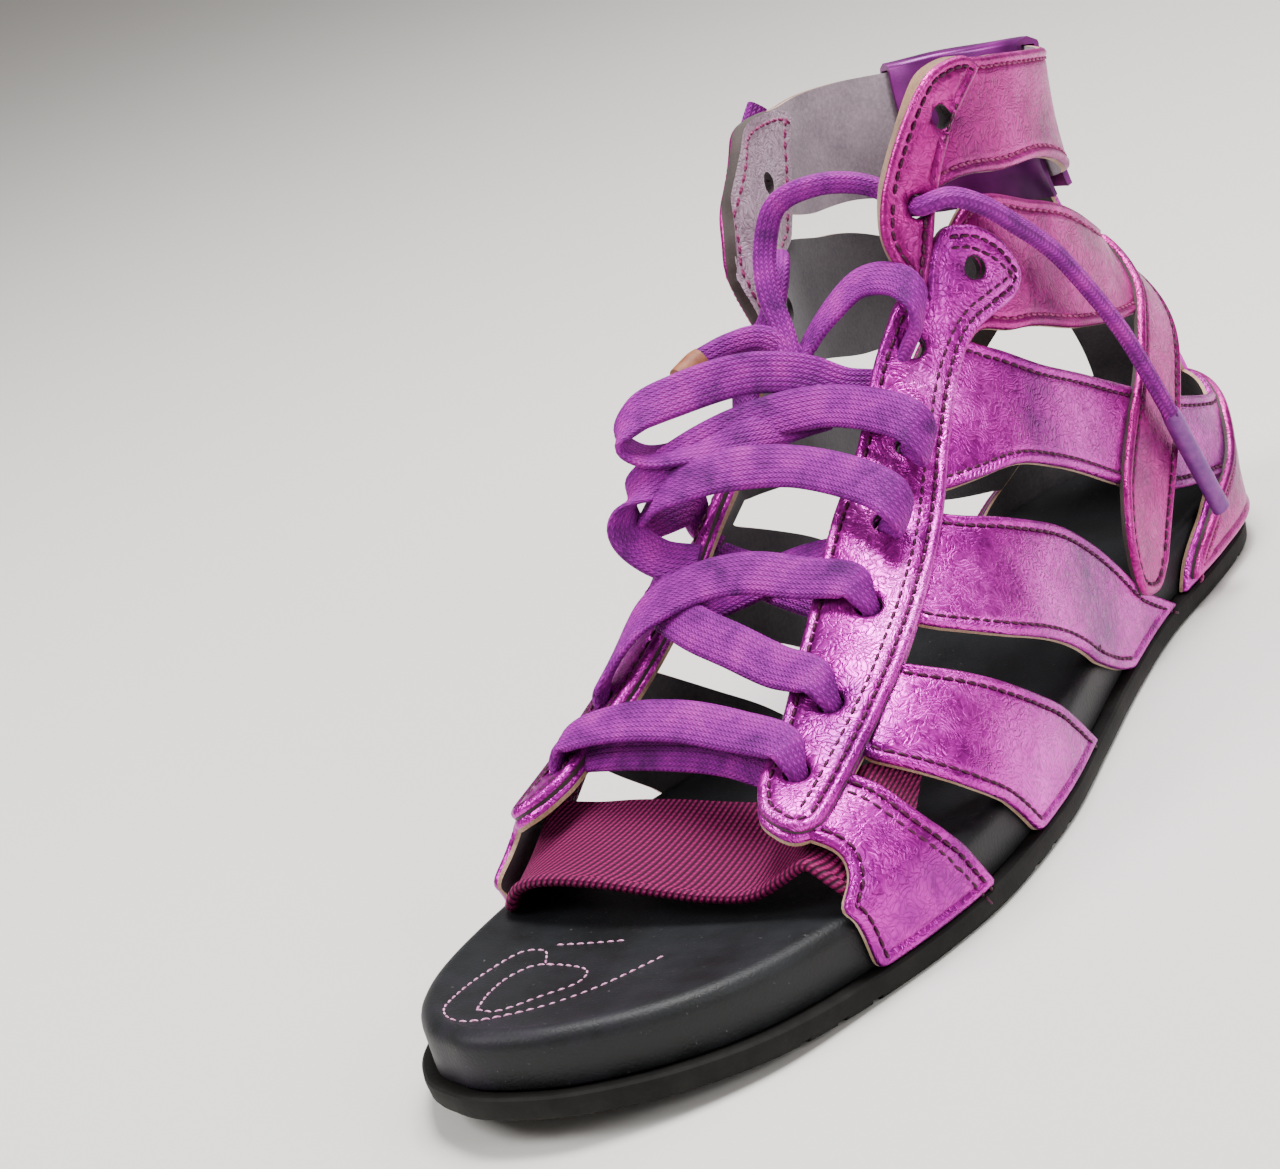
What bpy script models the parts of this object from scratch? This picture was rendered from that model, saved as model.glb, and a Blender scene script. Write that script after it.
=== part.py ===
"""Lace-up gladiator sandal, left foot. Toe towards -Y, outer side +X, sole on z = 0."""
import bpy
import numpy as np
from mathutils import Vector
from mathutils.geometry import delaunay_2d_cdt

MM = 0.001

# Named sizes, in metres
SOLE_LENGTH = 0.257
HEEL_BACK_Y = 0.033
BALL_WIDTH = 0.088
OUTSOLE_THICK = 0.0045
FOOTBED_THICK = 0.0105
TOE_SPRING = 0.006
SPRING_START = 0.74
LEDGE = 0.0026
FIT = 0.0003
BED_GAP = 0.0005
WALL = 0.0018
OVERLAY_THICK = 0.0012
OVERLAY_GAP = 0.0006
EYELET_RADIUS = 0.0023
LACE_WIDTH = 0.0085
LACE_THICK = 0.0028
INSTEP_HEIGHT = 0.0865
COLLAR_HEIGHT = 0.130
THROAT_HALF = 0.0132
ANKLE_HALF = 0.0255
THROAT_SHIFT = -0.0035
MEDIAL_TUCK = 0.004
MEDIAL_DROP = 0.007
LUG_DEPTH = 0.0009
LUG_GAP = 0.0022
LOW_SHARE = 0.12
SHEET_STEP = 0.0068
EDGE_ROUND = 0.0012
SHOULDER = 0.0032
ELASTIC_GAP = 0.0004
ELASTIC_THICK = 0.0014
LACE_LIFT = 0.0047
TOE_BAR_LIFT = 0.0040
EDGE_LIFT = 0.0009
TANGENT_STEP = 0.004
# Cross grooves between the lugs, as shares of the length from the heel
GROOVES = (0.030, 0.055, 0.080, 0.105, 0.56, 0.59, 0.62, 0.80, 0.83, 0.86)

# Outline of the sole: share of the length from the heel, then lateral and medial width as
# shares of the ball width
OUTLINE = [
    (0.00, 0.0000, 0.0000),
    (0.02, 0.1705, -0.1659),
    (0.07, 0.2795, -0.2750),
    (0.15, 0.3159, -0.3307),
    (0.25, 0.3284, -0.3261),
    (0.35, 0.3754, -0.2989),
    (0.45, 0.4405, -0.3000),
    (0.55, 0.5033, -0.3477),
    (0.65, 0.5250, -0.4295),
    (0.72, 0.5050, -0.4750),
    (0.80, 0.4480, -0.4770),
    (0.88, 0.3680, -0.4350),
    (0.94, 0.2513, -0.3540),
    (0.98, 0.1150, -0.2450),
    (0.995, 0.0100, -0.1500),
    (1.00, -0.0780, -0.0780),
]

# Top line of the last: the collar from the heel back to the tab, then the throat to the toe.
# Columns: place round the rim, half width (share of ANKLE_HALF or THROAT_HALF), place from
# the heel back (share of SOLE_LENGTH), height (share of COLLAR_HEIGHT or INSTEP_HEIGHT),
# rise, side share, drop, low lean, high lean
COLLAR_LINE = [
    (0.00, 0.0000, 0.1200, 0.9008, 0.40, 0.00, 0.50, -0.48, -0.50),
    (0.06, 0.4202, 0.1285, 0.9046, 0.40, -0.42, 0.50, -0.47, -0.50),
    (0.12, 0.7380, 0.1574, 0.9115, 0.38, -0.60, 0.48, -0.37, -0.41),
    (0.18, 0.9223, 0.2050, 0.9328, 0.36, -0.52, 0.42, -0.22, -0.22),
    (0.25, 1.0200, 0.2756, 0.9664, 0.36, -0.25, 0.36, -0.06, 0.03),
    (0.32, 0.9648, 0.3580, 1.0000, 0.38, 0.04, 0.30, 0.12, 0.30),
    (0.38, 0.6863, 0.3969, 0.8692, 0.42, 0.22, 0.25, 0.12, 0.33),
]
THROAT_LINE = [
    (0.45, 1.0227, 0.4397, 1.0000, 0.45, 0.38, 0.17, 0.12, 0.33),
    (0.52, 1.0000, 0.4903, 0.8092, 0.45, 0.45, 0.12, 0.12, 0.33),
    (0.58, 1.0000, 0.5447, 0.7052, 0.45, 0.48, 0.10, 0.12, 0.33),
    (0.65, 1.0000, 0.5992, 0.5954, 0.45, 0.50, 0.08, 0.12, 0.33),
    (0.72, 1.0000, 0.6732, 0.4798, 0.45, 0.52, 0.06, 0.12, 0.33),
    (0.78, 1.0000, 0.7276, 0.4162, 0.45, 0.55, 0.05, 0.12, 0.33),
    (0.84, 0.9848, 0.7821, 0.3757, 0.45, 0.55, 0.05, 0.12, 0.33),
    (0.92, 0.9091, 0.8677, 0.3121, 0.45, 0.55, 0.05, 0.12, 0.33),
]

# The pattern: each panel is a list of edges, each edge a smooth run of (u, v) points.
# u runs round the rim from the heel back (0) to the toe (1), v from the sole to the top line
TOE_STRAP = [
    [(0.743, 0.0), (0.747, 0.10), (0.757, 0.20), (0.747, 0.30), (0.748, 0.40), (0.772, 0.56)],
    [(0.772, 0.56), (0.73, 0.66)],
    [(0.73, 0.66), (0.706, 0.50), (0.684, 0.308), (0.658, 0.134), (0.637, 0.0)],
]
SECOND_STRAP = [
    [(0.577, 0.0), (0.592, 0.07), (0.634, 0.236), (0.669, 0.393), (0.70, 0.56), (0.703, 0.62)],
    [(0.703, 0.62), (0.65, 0.70)],
    [(0.65, 0.70), (0.636, 0.61), (0.590, 0.436), (0.538, 0.261), (0.491, 0.123), (0.455, 0.0)],
]
THIRD_STRAP = [
    [(0.352, 0.0), (0.377, 0.04), (0.435, 0.165), (0.530, 0.385), (0.600, 0.620), (0.61, 0.69)],
    [(0.61, 0.69), (0.53, 0.76)],
    [(0.53, 0.76), (0.515, 0.66), (0.433, 0.41), (0.330, 0.18), (0.25, 0.0)],
]
FOURTH_STRAP = [
    [(0.52, 0.76), (0.495, 0.67), (0.418, 0.485), (0.36, 0.372), (0.304, 0.294), (0.214, 0.20), (0.13, 0.14)],
    [(0.13, 0.14), (0.04, 0.14)],
    [(0.04, 0.14), (0.04, 0.235), (0.09, 0.26), (0.16, 0.33), (0.225, 0.407), (0.262, 0.445), (0.32, 0.49),
     (0.37, 0.60), (0.40, 0.70)],
    [(0.40, 0.70), (0.44, 0.76)],
]
COUNTER = [
    [(0.236, 0.0), (0.215, 0.07), (0.170, 0.133), (0.123, 0.180), (0.092, 0.255), (0.05, 0.28), (0.0, 0.29),
     (-0.05, 0.28), (-0.092, 0.255), (-0.123, 0.180), (-0.170, 0.133), (-0.215, 0.07), (-0.236, 0.0)],
]
BACK_STRAP = [
    [(0.045, 0.22), (0.042, 0.5), (0.042, 0.88)],
    [(0.042, 0.88), (-0.042, 0.88)],
    [(-0.042, 0.88), (-0.042, 0.5), (-0.045, 0.22)],
]
ANKLE_STRAP = [
    [(0.40, 0.655), (0.375, 0.64), (0.328, 0.56), (0.219, 0.528), (0.12, 0.52), (0.0, 0.515),
     (-0.12, 0.52), (-0.219, 0.528), (-0.328, 0.56), (-0.375, 0.64), (-0.40, 0.655)],
    [(-0.40, 0.655), (-0.41, 0.74), (-0.36, 0.775)],
    [(-0.36, 0.775), (-0.325, 0.771), (-0.218, 0.759), (-0.12, 0.715), (0.0, 0.695), (0.12, 0.715),
     (0.218, 0.759), (0.325, 0.771), (0.36, 0.775)],
    [(0.36, 0.775), (0.41, 0.74), (0.40, 0.655)],
]
COLLAR_STRAP = [
    [(0.35, 0.845), (0.341, 0.838), (0.266, 0.810), (0.19, 0.815), (0.10, 0.805), (0.0, 0.80),
     (-0.10, 0.805), (-0.19, 0.815), (-0.266, 0.810), (-0.341, 0.838), (-0.35, 0.845)],
    [(-0.35, 0.845), (-0.35, 0.95), (-0.30, 0.985)],
    [(-0.30, 0.985), (-0.277, 0.994), (-0.2, 0.996), (-0.1, 0.997), (0.0, 0.998), (0.1, 0.997),
     (0.2, 0.996), (0.277, 0.994), (0.30, 0.985)],
    [(0.30, 0.985), (0.35, 0.95), (0.35, 0.845)],
]
TAB = [
    [(0.262, 0.90), (0.277, 0.992), (0.308, 0.981), (0.345, 0.981), (0.371, 0.989), (0.394, 0.995),
     (0.407, 0.967), (0.408, 0.90), (0.398, 0.81), (0.412, 0.75)],
    [(0.412, 0.75), (0.40, 0.67)],
    [(0.40, 0.67), (0.345, 0.70), (0.338, 0.775), (0.333, 0.835), (0.262, 0.90)],
]
EYESTAY = [
    [(0.404, 0.79), (0.418, 0.89), (0.442, 0.945), (0.475, 0.985), (0.55, 0.995), (0.62, 0.985), (0.684, 0.945),
     (0.74, 0.875), (0.785, 0.83)],
    [(0.785, 0.83), (0.797, 0.75), (0.791, 0.65), (0.774, 0.54), (0.753, 0.50)],
    [(0.753, 0.50), (0.710, 0.568), (0.632, 0.617), (0.587, 0.635), (0.496, 0.690), (0.42, 0.69), (0.389, 0.675)],
    [(0.389, 0.675), (0.37, 0.72), (0.404, 0.79)],
]
EYESTAY_OVER = [
    [(0.405, 0.80), (0.418, 0.885), (0.442, 0.940), (0.475, 0.980), (0.55, 0.990), (0.62, 0.980), (0.684, 0.940),
     (0.74, 0.870), (0.783, 0.825)],
    [(0.783, 0.825), (0.794, 0.75), (0.788, 0.65), (0.772, 0.55), (0.756, 0.52)],
    [(0.756, 0.52), (0.710, 0.572), (0.632, 0.622), (0.587, 0.640), (0.496, 0.695), (0.435, 0.715), (0.412, 0.74)],
    [(0.412, 0.74), (0.405, 0.80)],
]
SIDE_STRAP = [
    [(0.062, 0.68), (0.120, 0.592), (0.167, 0.52), (0.219, 0.413), (0.259, 0.332), (0.288, 0.27)],
    [(0.288, 0.27), (0.312, 0.19), (0.312, 0.12), (0.285, 0.088), (0.259, 0.125)],
    [(0.259, 0.125), (0.233, 0.188), (0.194, 0.284), (0.16, 0.363), (0.112, 0.455), (0.055, 0.565)],
    [(0.055, 0.565), (0.062, 0.68)],
]
COUNTER_OVER = [
    [(0.228, 0.02), (0.212, 0.066), (0.168, 0.128), (0.120, 0.172), (0.089, 0.235), (0.05, 0.262), (0.0, 0.27),
     (-0.05, 0.262), (-0.089, 0.235), (-0.120, 0.172), (-0.168, 0.128), (-0.212, 0.066), (-0.228, 0.02)],
]
# Eyelets: place round the rim, height, then which piece carries an overlay there
EYELETS = [
    (0.752, 0.716),
    (0.699, 0.751),
    (0.629, 0.779),
    (0.563, 0.824),
    (0.500, 0.823),
    (0.436, 0.838),
    (0.349, 0.700),
    (0.366, 0.869),
    (0.317, 0.908),
]
OVERLAY_EYELETS = 6
SLEEVE = 0.0012
SLEEVE_EASE = 0.0009

# Lace runs. Each has its lateral and medial eyelet, then points between them: x as a share of
# BALL_WIDTH, place from the heel back of SOLE_LENGTH and height of INSTEP_HEIGHT
LACE_BAR_TOE = (0, 0, [(0.1364, 0.7237, 0.4740), (-0.0341, 0.7198, 0.5029), (-0.1932, 0.7276, 0.4971)])
LACE_CROSS_OVER = (2, 1, [(0.1250, 0.6070, 0.6416), (0.0000, 0.6109, 0.6647), (-0.1023, 0.6187, 0.6543), (-0.1932, 0.6323, 0.6266)])
LACE_CROSS_UNDER = (1, 2, [(0.1477, 0.6693, 0.5318), (0.0227, 0.6615, 0.5723), (-0.0909, 0.6479, 0.6069), (-0.1818, 0.6304, 0.6266)])
LACE_TOP_FRONT = (3, None, [(0.0000, 0.5447, 0.8208), (-0.1364, 0.5681, 0.8439), (-0.2273, 0.5837, 0.8324), (-0.2955, 0.5914, 0.7977)])
LACE_TOP_REAR = (4, None, [(0.0000, 0.4961, 0.8902), (-0.1364, 0.5292, 0.8902), (-0.2273, 0.5681, 0.8555), (-0.2841, 0.5953, 0.8035)])
# Free strands of the lace, x y z in mm
LOOP_FRONT = [(1.2, -93.0, 79.7), (-4, -91, 86), (-10, -96, 89.5), (-18, -105, 90), (-24, -111, 87), (-24.5, -113, 82)]
LOOP_BACK = [(20, -81, 88), (20, -79, 91), (16, -76, 94.5), (8, -76, 95), (2, -80, 93), (-3.0, -82.3, 90)]
STRAND_RISE = [(-6, -83, 90), (-9.5, -81, 97), (-11, -76, 104), (-8, -73, 111), (0, -70, 113), (7, -65, 111), (12, -63, 108)]
STRAND_FREE = [(19.3, -66.8, 105.4), (21.6, -66.0, 106.0), (23.9, -64.3, 105.9), (26.7, -59.2, 102.4), (28.5, -51.9, 95.7),
               (29.5, -43.0, 87.3), (30.1, -34.6, 76.4), (30.7, -26.8, 64.2), (31.3, -21.0, 51.4), (31.7, -17.0, 41.4)]
STRAND_TIP = [(31.75, -16.7, 40.5), (32.1, -7.2, 17.4)]
STRAND_SHORT = [(-9, -86.2, 91.5), (-12, -88.6, 93.5), (-16, -90.5, 93.5), (-19, -95, 93.5)]
STRAND_SHORT_TIP = [(-19.4, -95.7, 93.5), (-21.5, -102, 93)]
LACE_RINGS = 20
CORD_DIAMETER = 0.0042
TIP_DIAMETER = 0.0046

# Toe elastic, front edge then rear edge. The two rows at each end are places round the rim and
# heights under the straps. Those between are x, distance from the heel and height, as shares
ELASTIC_FRONT = [
    (0.700, 0.12), (0.738, 0.20), (0.3977, 0.7879, 0.2486),
    (0.3409, 0.7879, 0.2775), (0.2841, 0.7899, 0.2613), (0.2102, 0.7938, 0.2358),
    (0.1136, 0.7977, 0.2335), (-0.0057, 0.8019, 0.2474), (-0.1364, 0.8070, 0.2636),
    (-0.2670, 0.8109, 0.2705), (-0.3523, 0.8109, 0.2428), (-0.775, 0.20),
    (-0.725, 0.12),
]
ELASTIC_REAR = [
    (0.655, 0.42), (0.700, 0.56), (0.2727, 0.7082, 0.3353),
    (0.1591, 0.7136, 0.3006), (0.0568, 0.7191, 0.3052), (-0.0568, 0.7249, 0.3191),
    (-0.1591, 0.7307, 0.3272), (-0.2648, 0.7358, 0.3283), (-0.730, 0.52),
    (-0.680, 0.40),
]


def smooth(x, xs, ys):
    """Smooth curve through a table, read at x."""
    xs = np.asarray(xs, float)
    ys = np.asarray(ys, float)
    single = ys.ndim == 1
    if single:
        ys = ys[:, None]
    slope = np.diff(ys, axis=0) / np.diff(xs)[:, None]
    h = np.diff(xs)[:, None]
    m = np.empty_like(ys)
    m[1:-1] = (slope[:-1] * h[1:] + slope[1:] * h[:-1]) / (h[1:] + h[:-1])
    m[0] = slope[0]
    m[-1] = slope[-1]
    x = np.asarray(x, float)
    i = np.clip(np.searchsorted(xs, x, side="right") - 1, 0, len(xs) - 2)
    step = (xs[i + 1] - xs[i])[..., None]
    t = (x[..., None] - xs[i][..., None]) / step
    out = (2 * t**3 - 3 * t**2 + 1) * ys[i] + (t**3 - 2 * t**2 + t) * step * m[i]
    out = out + (3 * t**2 - 2 * t**3) * ys[i + 1] + (t**3 - t**2) * step * m[i + 1]
    return out[..., 0] if single else out


def run_through(points, count):
    """A smooth run of count points through a few 2-D or 3-D ones."""
    p = np.asarray(points, float)
    if len(p) == 2:
        t = np.linspace(0, 1, count)[:, None]
        return p[0] * (1 - t) + p[1] * t
    gap = np.linalg.norm(np.diff(p, axis=0), axis=1)
    at = np.r_[0, np.cumsum(np.sqrt(gap))]
    return smooth(np.linspace(0, at[-1], count), at, p)


def spring(y):
    share = (HEEL_BACK_Y - y) / SOLE_LENGTH
    return TOE_SPRING * np.clip((share - SPRING_START) / (1 - SPRING_START), 0, None) ** 2


def trace_outline():
    table = np.array(OUTLINE)
    lateral = np.c_[table[:, 1], table[:, 0]]
    medial = np.c_[table[::-1, 2], table[::-1, 0]][1:]
    pts = np.vstack([medial[-2:-1], lateral, medial, lateral[1:2]])
    t = np.arange(len(pts)) - 1.0
    q = smooth(np.linspace(0, 2 * (len(table) - 1), 1920), t, pts)
    ring = np.c_[q[:, 0] * BALL_WIDTH, HEEL_BACK_Y - q[:, 1] * SOLE_LENGTH]
    along = np.r_[0, np.cumsum(np.hypot(*np.diff(ring, axis=0).T))]
    return ring, along


RING, RING_ALONG = trace_outline()
TOE_AT = RING_ALONG[RING[:, 1].argmin()]
RING_END = RING_ALONG[-1]


def rim(u, inset):
    """Point of the sole's outline, moved in. u is 0 at the heel back, 1 or -1 at the toe."""
    u = np.asarray(u, float)
    at = np.where(u >= 0, u * TOE_AT, RING_END + u * (RING_END - TOE_AT))

    def read(a):
        a = np.mod(a, RING_END)
        return np.stack([np.interp(a, RING_ALONG, RING[:, 0]), np.interp(a, RING_ALONG, RING[:, 1])], -1)

    d = read(at + TANGENT_STEP) - read(at - TANGENT_STEP)
    out = np.stack([d[..., 1], -d[..., 0]], -1)
    out = out / np.linalg.norm(out, axis=-1, keepdims=True)
    heel = rim_out_sign
    return read(at) - out * heel * inset


rim_out_sign = 1.0
rim_out_sign = 1.0 if rim(np.array([0.3]), 0.001)[0, 0] < rim(np.array([0.3]), 0.0)[0, 0] else -1.0


def top_table():
    """The top line in metres, mirrored so that it runs smoothly round the heel."""
    collar = np.array(COLLAR_LINE) * [1, ANKLE_HALF, -SOLE_LENGTH, COLLAR_HEIGHT, 1, 1, 1, 1, 1]
    throat = np.array(THROAT_LINE) * [1, THROAT_HALF, -SOLE_LENGTH, INSTEP_HEIGHT, 1, 1, 1, 1, 1]
    table = np.vstack([collar, throat])
    table[:, 2] += HEEL_BACK_Y
    mirrored = table[:0:-1] * [-1, -1, 1, 1, 1, 1, 1, 1, 1]
    return np.vstack([mirrored, table])


TOP_TABLE = top_table()


def last(u, v):
    """Outer skin of the upper: u round the rim, v from the ledge (0) to the top line (1)."""
    u = np.asarray(u, float)
    v = np.asarray(v, float)
    w = np.abs(u)
    table = TOP_TABLE
    q = smooth(u, table[:, 0], table[:, 1:])
    bump = np.exp(-(((w - 0.33) / 0.09) ** 2)) * (u < 0)
    xt = q[..., 0] + THROAT_SHIFT * np.clip(w / 0.3, 0, 1) ** 2 + MEDIAL_TUCK * bump
    yt = q[..., 1]
    zt = q[..., 2] - MEDIAL_DROP * bump
    foot = rim(u, LEDGE - BED_GAP - WALL)
    z0 = OUTSOLE_THICK + FIT + spring(foot[..., 1])
    zf = z0 + FOOTBED_THICK
    rise = zt - zf
    p0 = np.stack([foot[..., 0], foot[..., 1], zf], -1)
    p1 = np.stack([foot[..., 0], foot[..., 1] + (yt - foot[..., 1]) * q[..., 6], zf + rise * q[..., 3]], -1)
    p2 = np.stack([xt + (foot[..., 0] - xt) * q[..., 4], yt + (foot[..., 1] - yt) * q[..., 7], zt - rise * q[..., 5]], -1)
    p3 = np.stack([xt, yt, zt], -1)
    t = np.clip((v - LOW_SHARE) / (1 - LOW_SHARE), 0, None)[..., None]
    curve = (1 - t) ** 3 * p0 + 3 * (1 - t) ** 2 * t * p1 + 3 * (1 - t) * t**2 * p2 + t**3 * p3
    low = np.stack([foot[..., 0], foot[..., 1], z0 + (zf - z0) * np.minimum(v / LOW_SHARE, 1)], -1)
    return np.where((v < LOW_SHARE)[..., None], low, curve)


def last_frame(u, v):
    """Point and outward normal of the last."""
    e = 0.004
    lo = np.maximum(v - e, 0)
    p = last(u, v)
    du = last(u + e, v) - last(u - e, v)
    dv = last(u, v + e) - last(u, lo)
    n = np.cross(du, dv)
    n = n / np.linalg.norm(n, axis=-1, keepdims=True)
    return p, n


def normal_sign():
    p, n = last_frame(np.array([0.3]), np.array([0.4]))
    return 1.0 if n[0, 0] > 0 else -1.0


OUT = normal_sign()
PLANE_U = 1.11 * SOLE_LENGTH
PLANE_V = 0.69 * COLLAR_HEIGHT


def mirror(panel):
    return [[(-u, v) for u, v in edge] for edge in panel]


def panel_loop(panel, step):
    """Closed outline of one panel in the pattern plane, a point about every step."""
    loop = []
    for edge in panel:
        rough = run_through(edge, 40) * np.array([PLANE_U, PLANE_V])
        length = np.hypot(*np.diff(rough, axis=0).T).sum()
        count = max(2, int(round(length / step)) + 1)
        at = np.r_[0, np.cumsum(np.hypot(*np.diff(rough, axis=0).T))]
        want = np.linspace(0, at[-1], count)
        pts = np.c_[np.interp(want, at, rough[:, 0]), np.interp(want, at, rough[:, 1])]
        loop.extend(pts[:-1])
    if np.hypot(*(np.array(panel[-1][-1]) - np.array(panel[0][0]))) > 1e-6:
        end = np.array(panel[-1][-1]) * [PLANE_U, PLANE_V]
        start = np.array(panel[0][0]) * [PLANE_U, PLANE_V]
        count = max(2, int(round(np.hypot(*(end - start)) / step)))
        for k in range(count):
            loop.append(end + (start - end) * k / count)
    loop = np.array(loop)
    after = np.roll(loop, -1, axis=0)
    turn = (loop[:, 0] * after[:, 1] - loop[:, 1] * after[:, 0]).sum()
    return loop if turn > 0 else loop[::-1]


def inside(points, loop):
    x, y = points[:, 0], points[:, 1]
    hit = np.zeros(len(points), bool)
    a = loop
    b = np.roll(loop, -1, axis=0)
    for (x0, y0), (x1, y1) in zip(a, b):
        if y0 == y1:
            continue
        cross = (y0 > y) != (y1 > y)
        hit ^= cross & (x < (x1 - x0) * (y - y0) / (y1 - y0) + x0)
    return hit


def edge_distance(points, loop):
    best = np.full(len(points), 1e9)
    for a, b in zip(loop, np.roll(loop, -1, axis=0)):
        d = b - a
        t = np.clip(((points - a) @ d) / max(d @ d, 1e-18), 0, 1)
        best = np.minimum(best, np.hypot(*(points - a - t[:, None] * d).T))
    return best


def hole_loop(u, v, radius, sides):
    """A round hole, drawn in the pattern plane so that it is round on the last."""
    e = 0.004
    u1 = np.array([u])
    v1 = np.array([v])
    su = np.linalg.norm(last(u1 + e, v1) - last(u1 - e, v1)) / (2 * e)
    sv = np.linalg.norm(last(u1, v1 + e) - last(u1, v1 - e)) / (2 * e)
    a = np.arange(sides) * 2 * np.pi / sides
    return np.c_[(u + radius / su * np.cos(a)) * PLANE_U, (v + radius / sv * np.sin(a)) * PLANE_V]


def elastic_edge(rows):
    """One edge of the toe elastic: ends by place under the straps, the middle by shares."""
    depth = WALL + FIT + ELASTIC_GAP
    points = []
    for row in rows:
        if len(row) == 2:
            p, n = last_frame(np.array(row[:1]), np.array(row[1:]))
            points.append((p - n * OUT * depth)[0])
        else:
            points.append((row[0] * BALL_WIDTH, HEEL_BACK_Y - row[1] * SOLE_LENGTH, row[2] * INSTEP_HEIGHT))
    return run_through(np.array(points), 27)


def cut_sheet(panels, holes, step, sides=10):
    """Triangles of the union of the panels less the holes, in the pattern plane."""
    loops = [panel_loop(p, step) for p in panels]
    cuts = [hole_loop(u, v, EYELET_RADIUS, sides) for u, v in holes]
    every = np.vstack(loops)
    lo = every.min(axis=0)
    hi = every.max(axis=0)
    gx, gy = np.meshgrid(np.arange(lo[0], hi[0], step), np.arange(lo[1], hi[1], step * 0.87), indexing="ij")
    gx = gx + (np.arange(gx.shape[1]) % 2) * step * 0.5
    grid = np.c_[gx.ravel(), gy.ravel()]
    keep = np.zeros(len(grid), bool)
    near = np.full(len(grid), 1e9)
    for loop in loops:
        keep |= inside(grid, loop)
        near = np.minimum(near, edge_distance(grid, loop))
    for loop in cuts:
        keep &= ~inside(grid, loop)
        near = np.minimum(near, edge_distance(grid, loop))
    grid = grid[keep & (near > step * 0.45)]
    points = [Vector(p) for p in every] + [Vector(p) for c in cuts for p in c] + [Vector(p) for p in grid]
    faces = []
    start = 0
    for loop in loops + cuts:
        faces.append(list(range(start, start + len(loop))))
        start += len(loop)
    flat, _, tris, _, _, origin = delaunay_2d_cdt(points, [], faces, 0, 2e-5)
    kept = []
    for tri, ids in zip(tris, origin):
        if not ids or any(i >= len(loops) for i in ids):
            continue
        kept.append(tri)
    return np.array([(p.x / PLANE_U, p.y / PLANE_V) for p in flat]), kept


def shell_mesh(flat, tris, low, high):
    """Closed wall between two offsets from the last."""
    used = sorted({i for t in tris for i in t})
    index = {old: new for new, old in enumerate(used)}
    uv = flat[used]
    p, n = last_frame(uv[:, 0], uv[:, 1])
    n = n * OUT
    count = len(used)
    verts = np.vstack([p + n * high, p + n * low])
    faces = []
    border = {}
    for tri in tris:
        a, b, c = (index[i] for i in tri)
        faces.append((a, b, c))
        faces.append((c + count, b + count, a + count))
        for e in ((a, b), (b, c), (c, a)):
            if (e[1], e[0]) in border:
                del border[(e[1], e[0])]
            else:
                border[e] = True
    for a, b in border:
        faces.append((b, a, a + count, b + count))
    return verts, faces


def make_material(name, colour, rough):
    mat = bpy.data.materials.new(name)
    mat.use_nodes = True
    shader = mat.node_tree.nodes["Principled BSDF"]
    shader.inputs["Base Color"].default_value = (*colour, 1)
    shader.inputs["Roughness"].default_value = rough
    return mat


def add_object(name, verts, faces, mat, folder):
    mesh = bpy.data.meshes.new(name)
    mesh.from_pydata([tuple(p) for p in verts], [], [tuple(f) for f in faces])
    mesh.validate()
    mesh.materials.append(mat)
    obj = bpy.data.objects.new(name, mesh)
    folder.objects.link(obj)
    return obj


def upper_panels():
    both = [COUNTER, BACK_STRAP, ANKLE_STRAP, COLLAR_STRAP]
    for panel in (TOE_STRAP, SECOND_STRAP, THIRD_STRAP, FOURTH_STRAP, TAB, EYESTAY):
        both.append(panel)
        both.append(mirror(panel))
    return both


def slab(levels, count, across):
    """A solid on the sole's outline: levels of (height, inset), capped top and bottom."""
    verts = []
    faces = []
    u = np.linspace(0, 1, count + 1)[:-1]
    ring_u = np.r_[u, [1.0], -u[:0:-1]]
    size = len(ring_u)
    for height, inset in levels:
        p = rim(ring_u, inset)
        verts.extend(np.c_[p, height + spring(p[:, 1])])
    for level in range(len(levels) - 1):
        a = level * size
        b = a + size
        for k in range(size):
            j = (k + 1) % size
            faces.append((a + k, a + j, b + j, b + k))
    for top, level in ((False, 0), (True, len(levels) - 1)):
        base = level * size
        rows = [[base]]
        for k in range(1, count):
            left = base + k
            right = base + size - k
            row = [left]
            for m in range(1, across):
                t = m / across
                pa, pb = np.array(verts[left]), np.array(verts[right])
                q = pa * (1 - t) + pb * t
                q[2] = levels[level][0] + spring(q[1])
                if top and across > 2:
                    q[2] -= DISH * np.sin(np.pi * t)
                verts.append(q)
                row.append(len(verts) - 1)
            row.append(right)
            rows.append(row)
        rows.append([base + count])
        for r0, r1 in zip(rows[:-1], rows[1:]):
            n0, n1 = len(r0) - 1, len(r1) - 1
            if n0 == 0:
                strip = [(r0[0], r1[m], r1[m + 1]) for m in range(n1)]
            elif n1 == 0:
                strip = [(r0[m], r1[0], r0[m + 1]) for m in range(n0)]
            else:
                strip = [(r0[m], r1[m], r1[m + 1], r0[m + 1]) for m in range(n0)]
            faces.extend(f if top else f[::-1] for f in strip)
    return np.array(verts), faces


DISH = 0.0012


def face_out(verts, faces):
    """Turn every face when the solid is inside out."""
    volume = 0.0
    for f in faces:
        p = [np.asarray(verts[i]) for i in f]
        for k in range(1, len(p) - 1):
            volume += np.dot(p[0], np.cross(p[k], p[k + 1]))
    return faces if volume > 0 else [tuple(f[::-1]) for f in faces]


def box_mesh(cx, cy, cz, sx, sy, sz, turn=0.0):
    c, s = np.cos(turn), np.sin(turn)
    verts = []
    for z in (-1, 1):
        for x, y in ((-1, -1), (1, -1), (1, 1), (-1, 1)):
            px, py = x * sx / 2, y * sy / 2
            verts.append((cx + c * px - s * py, cy + s * px + c * py, cz + z * sz / 2))
    faces = [(3, 2, 1, 0), (4, 5, 6, 7), (0, 1, 5, 4), (1, 2, 6, 5), (2, 3, 7, 6), (3, 0, 4, 7)]
    return np.array(verts), faces


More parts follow.
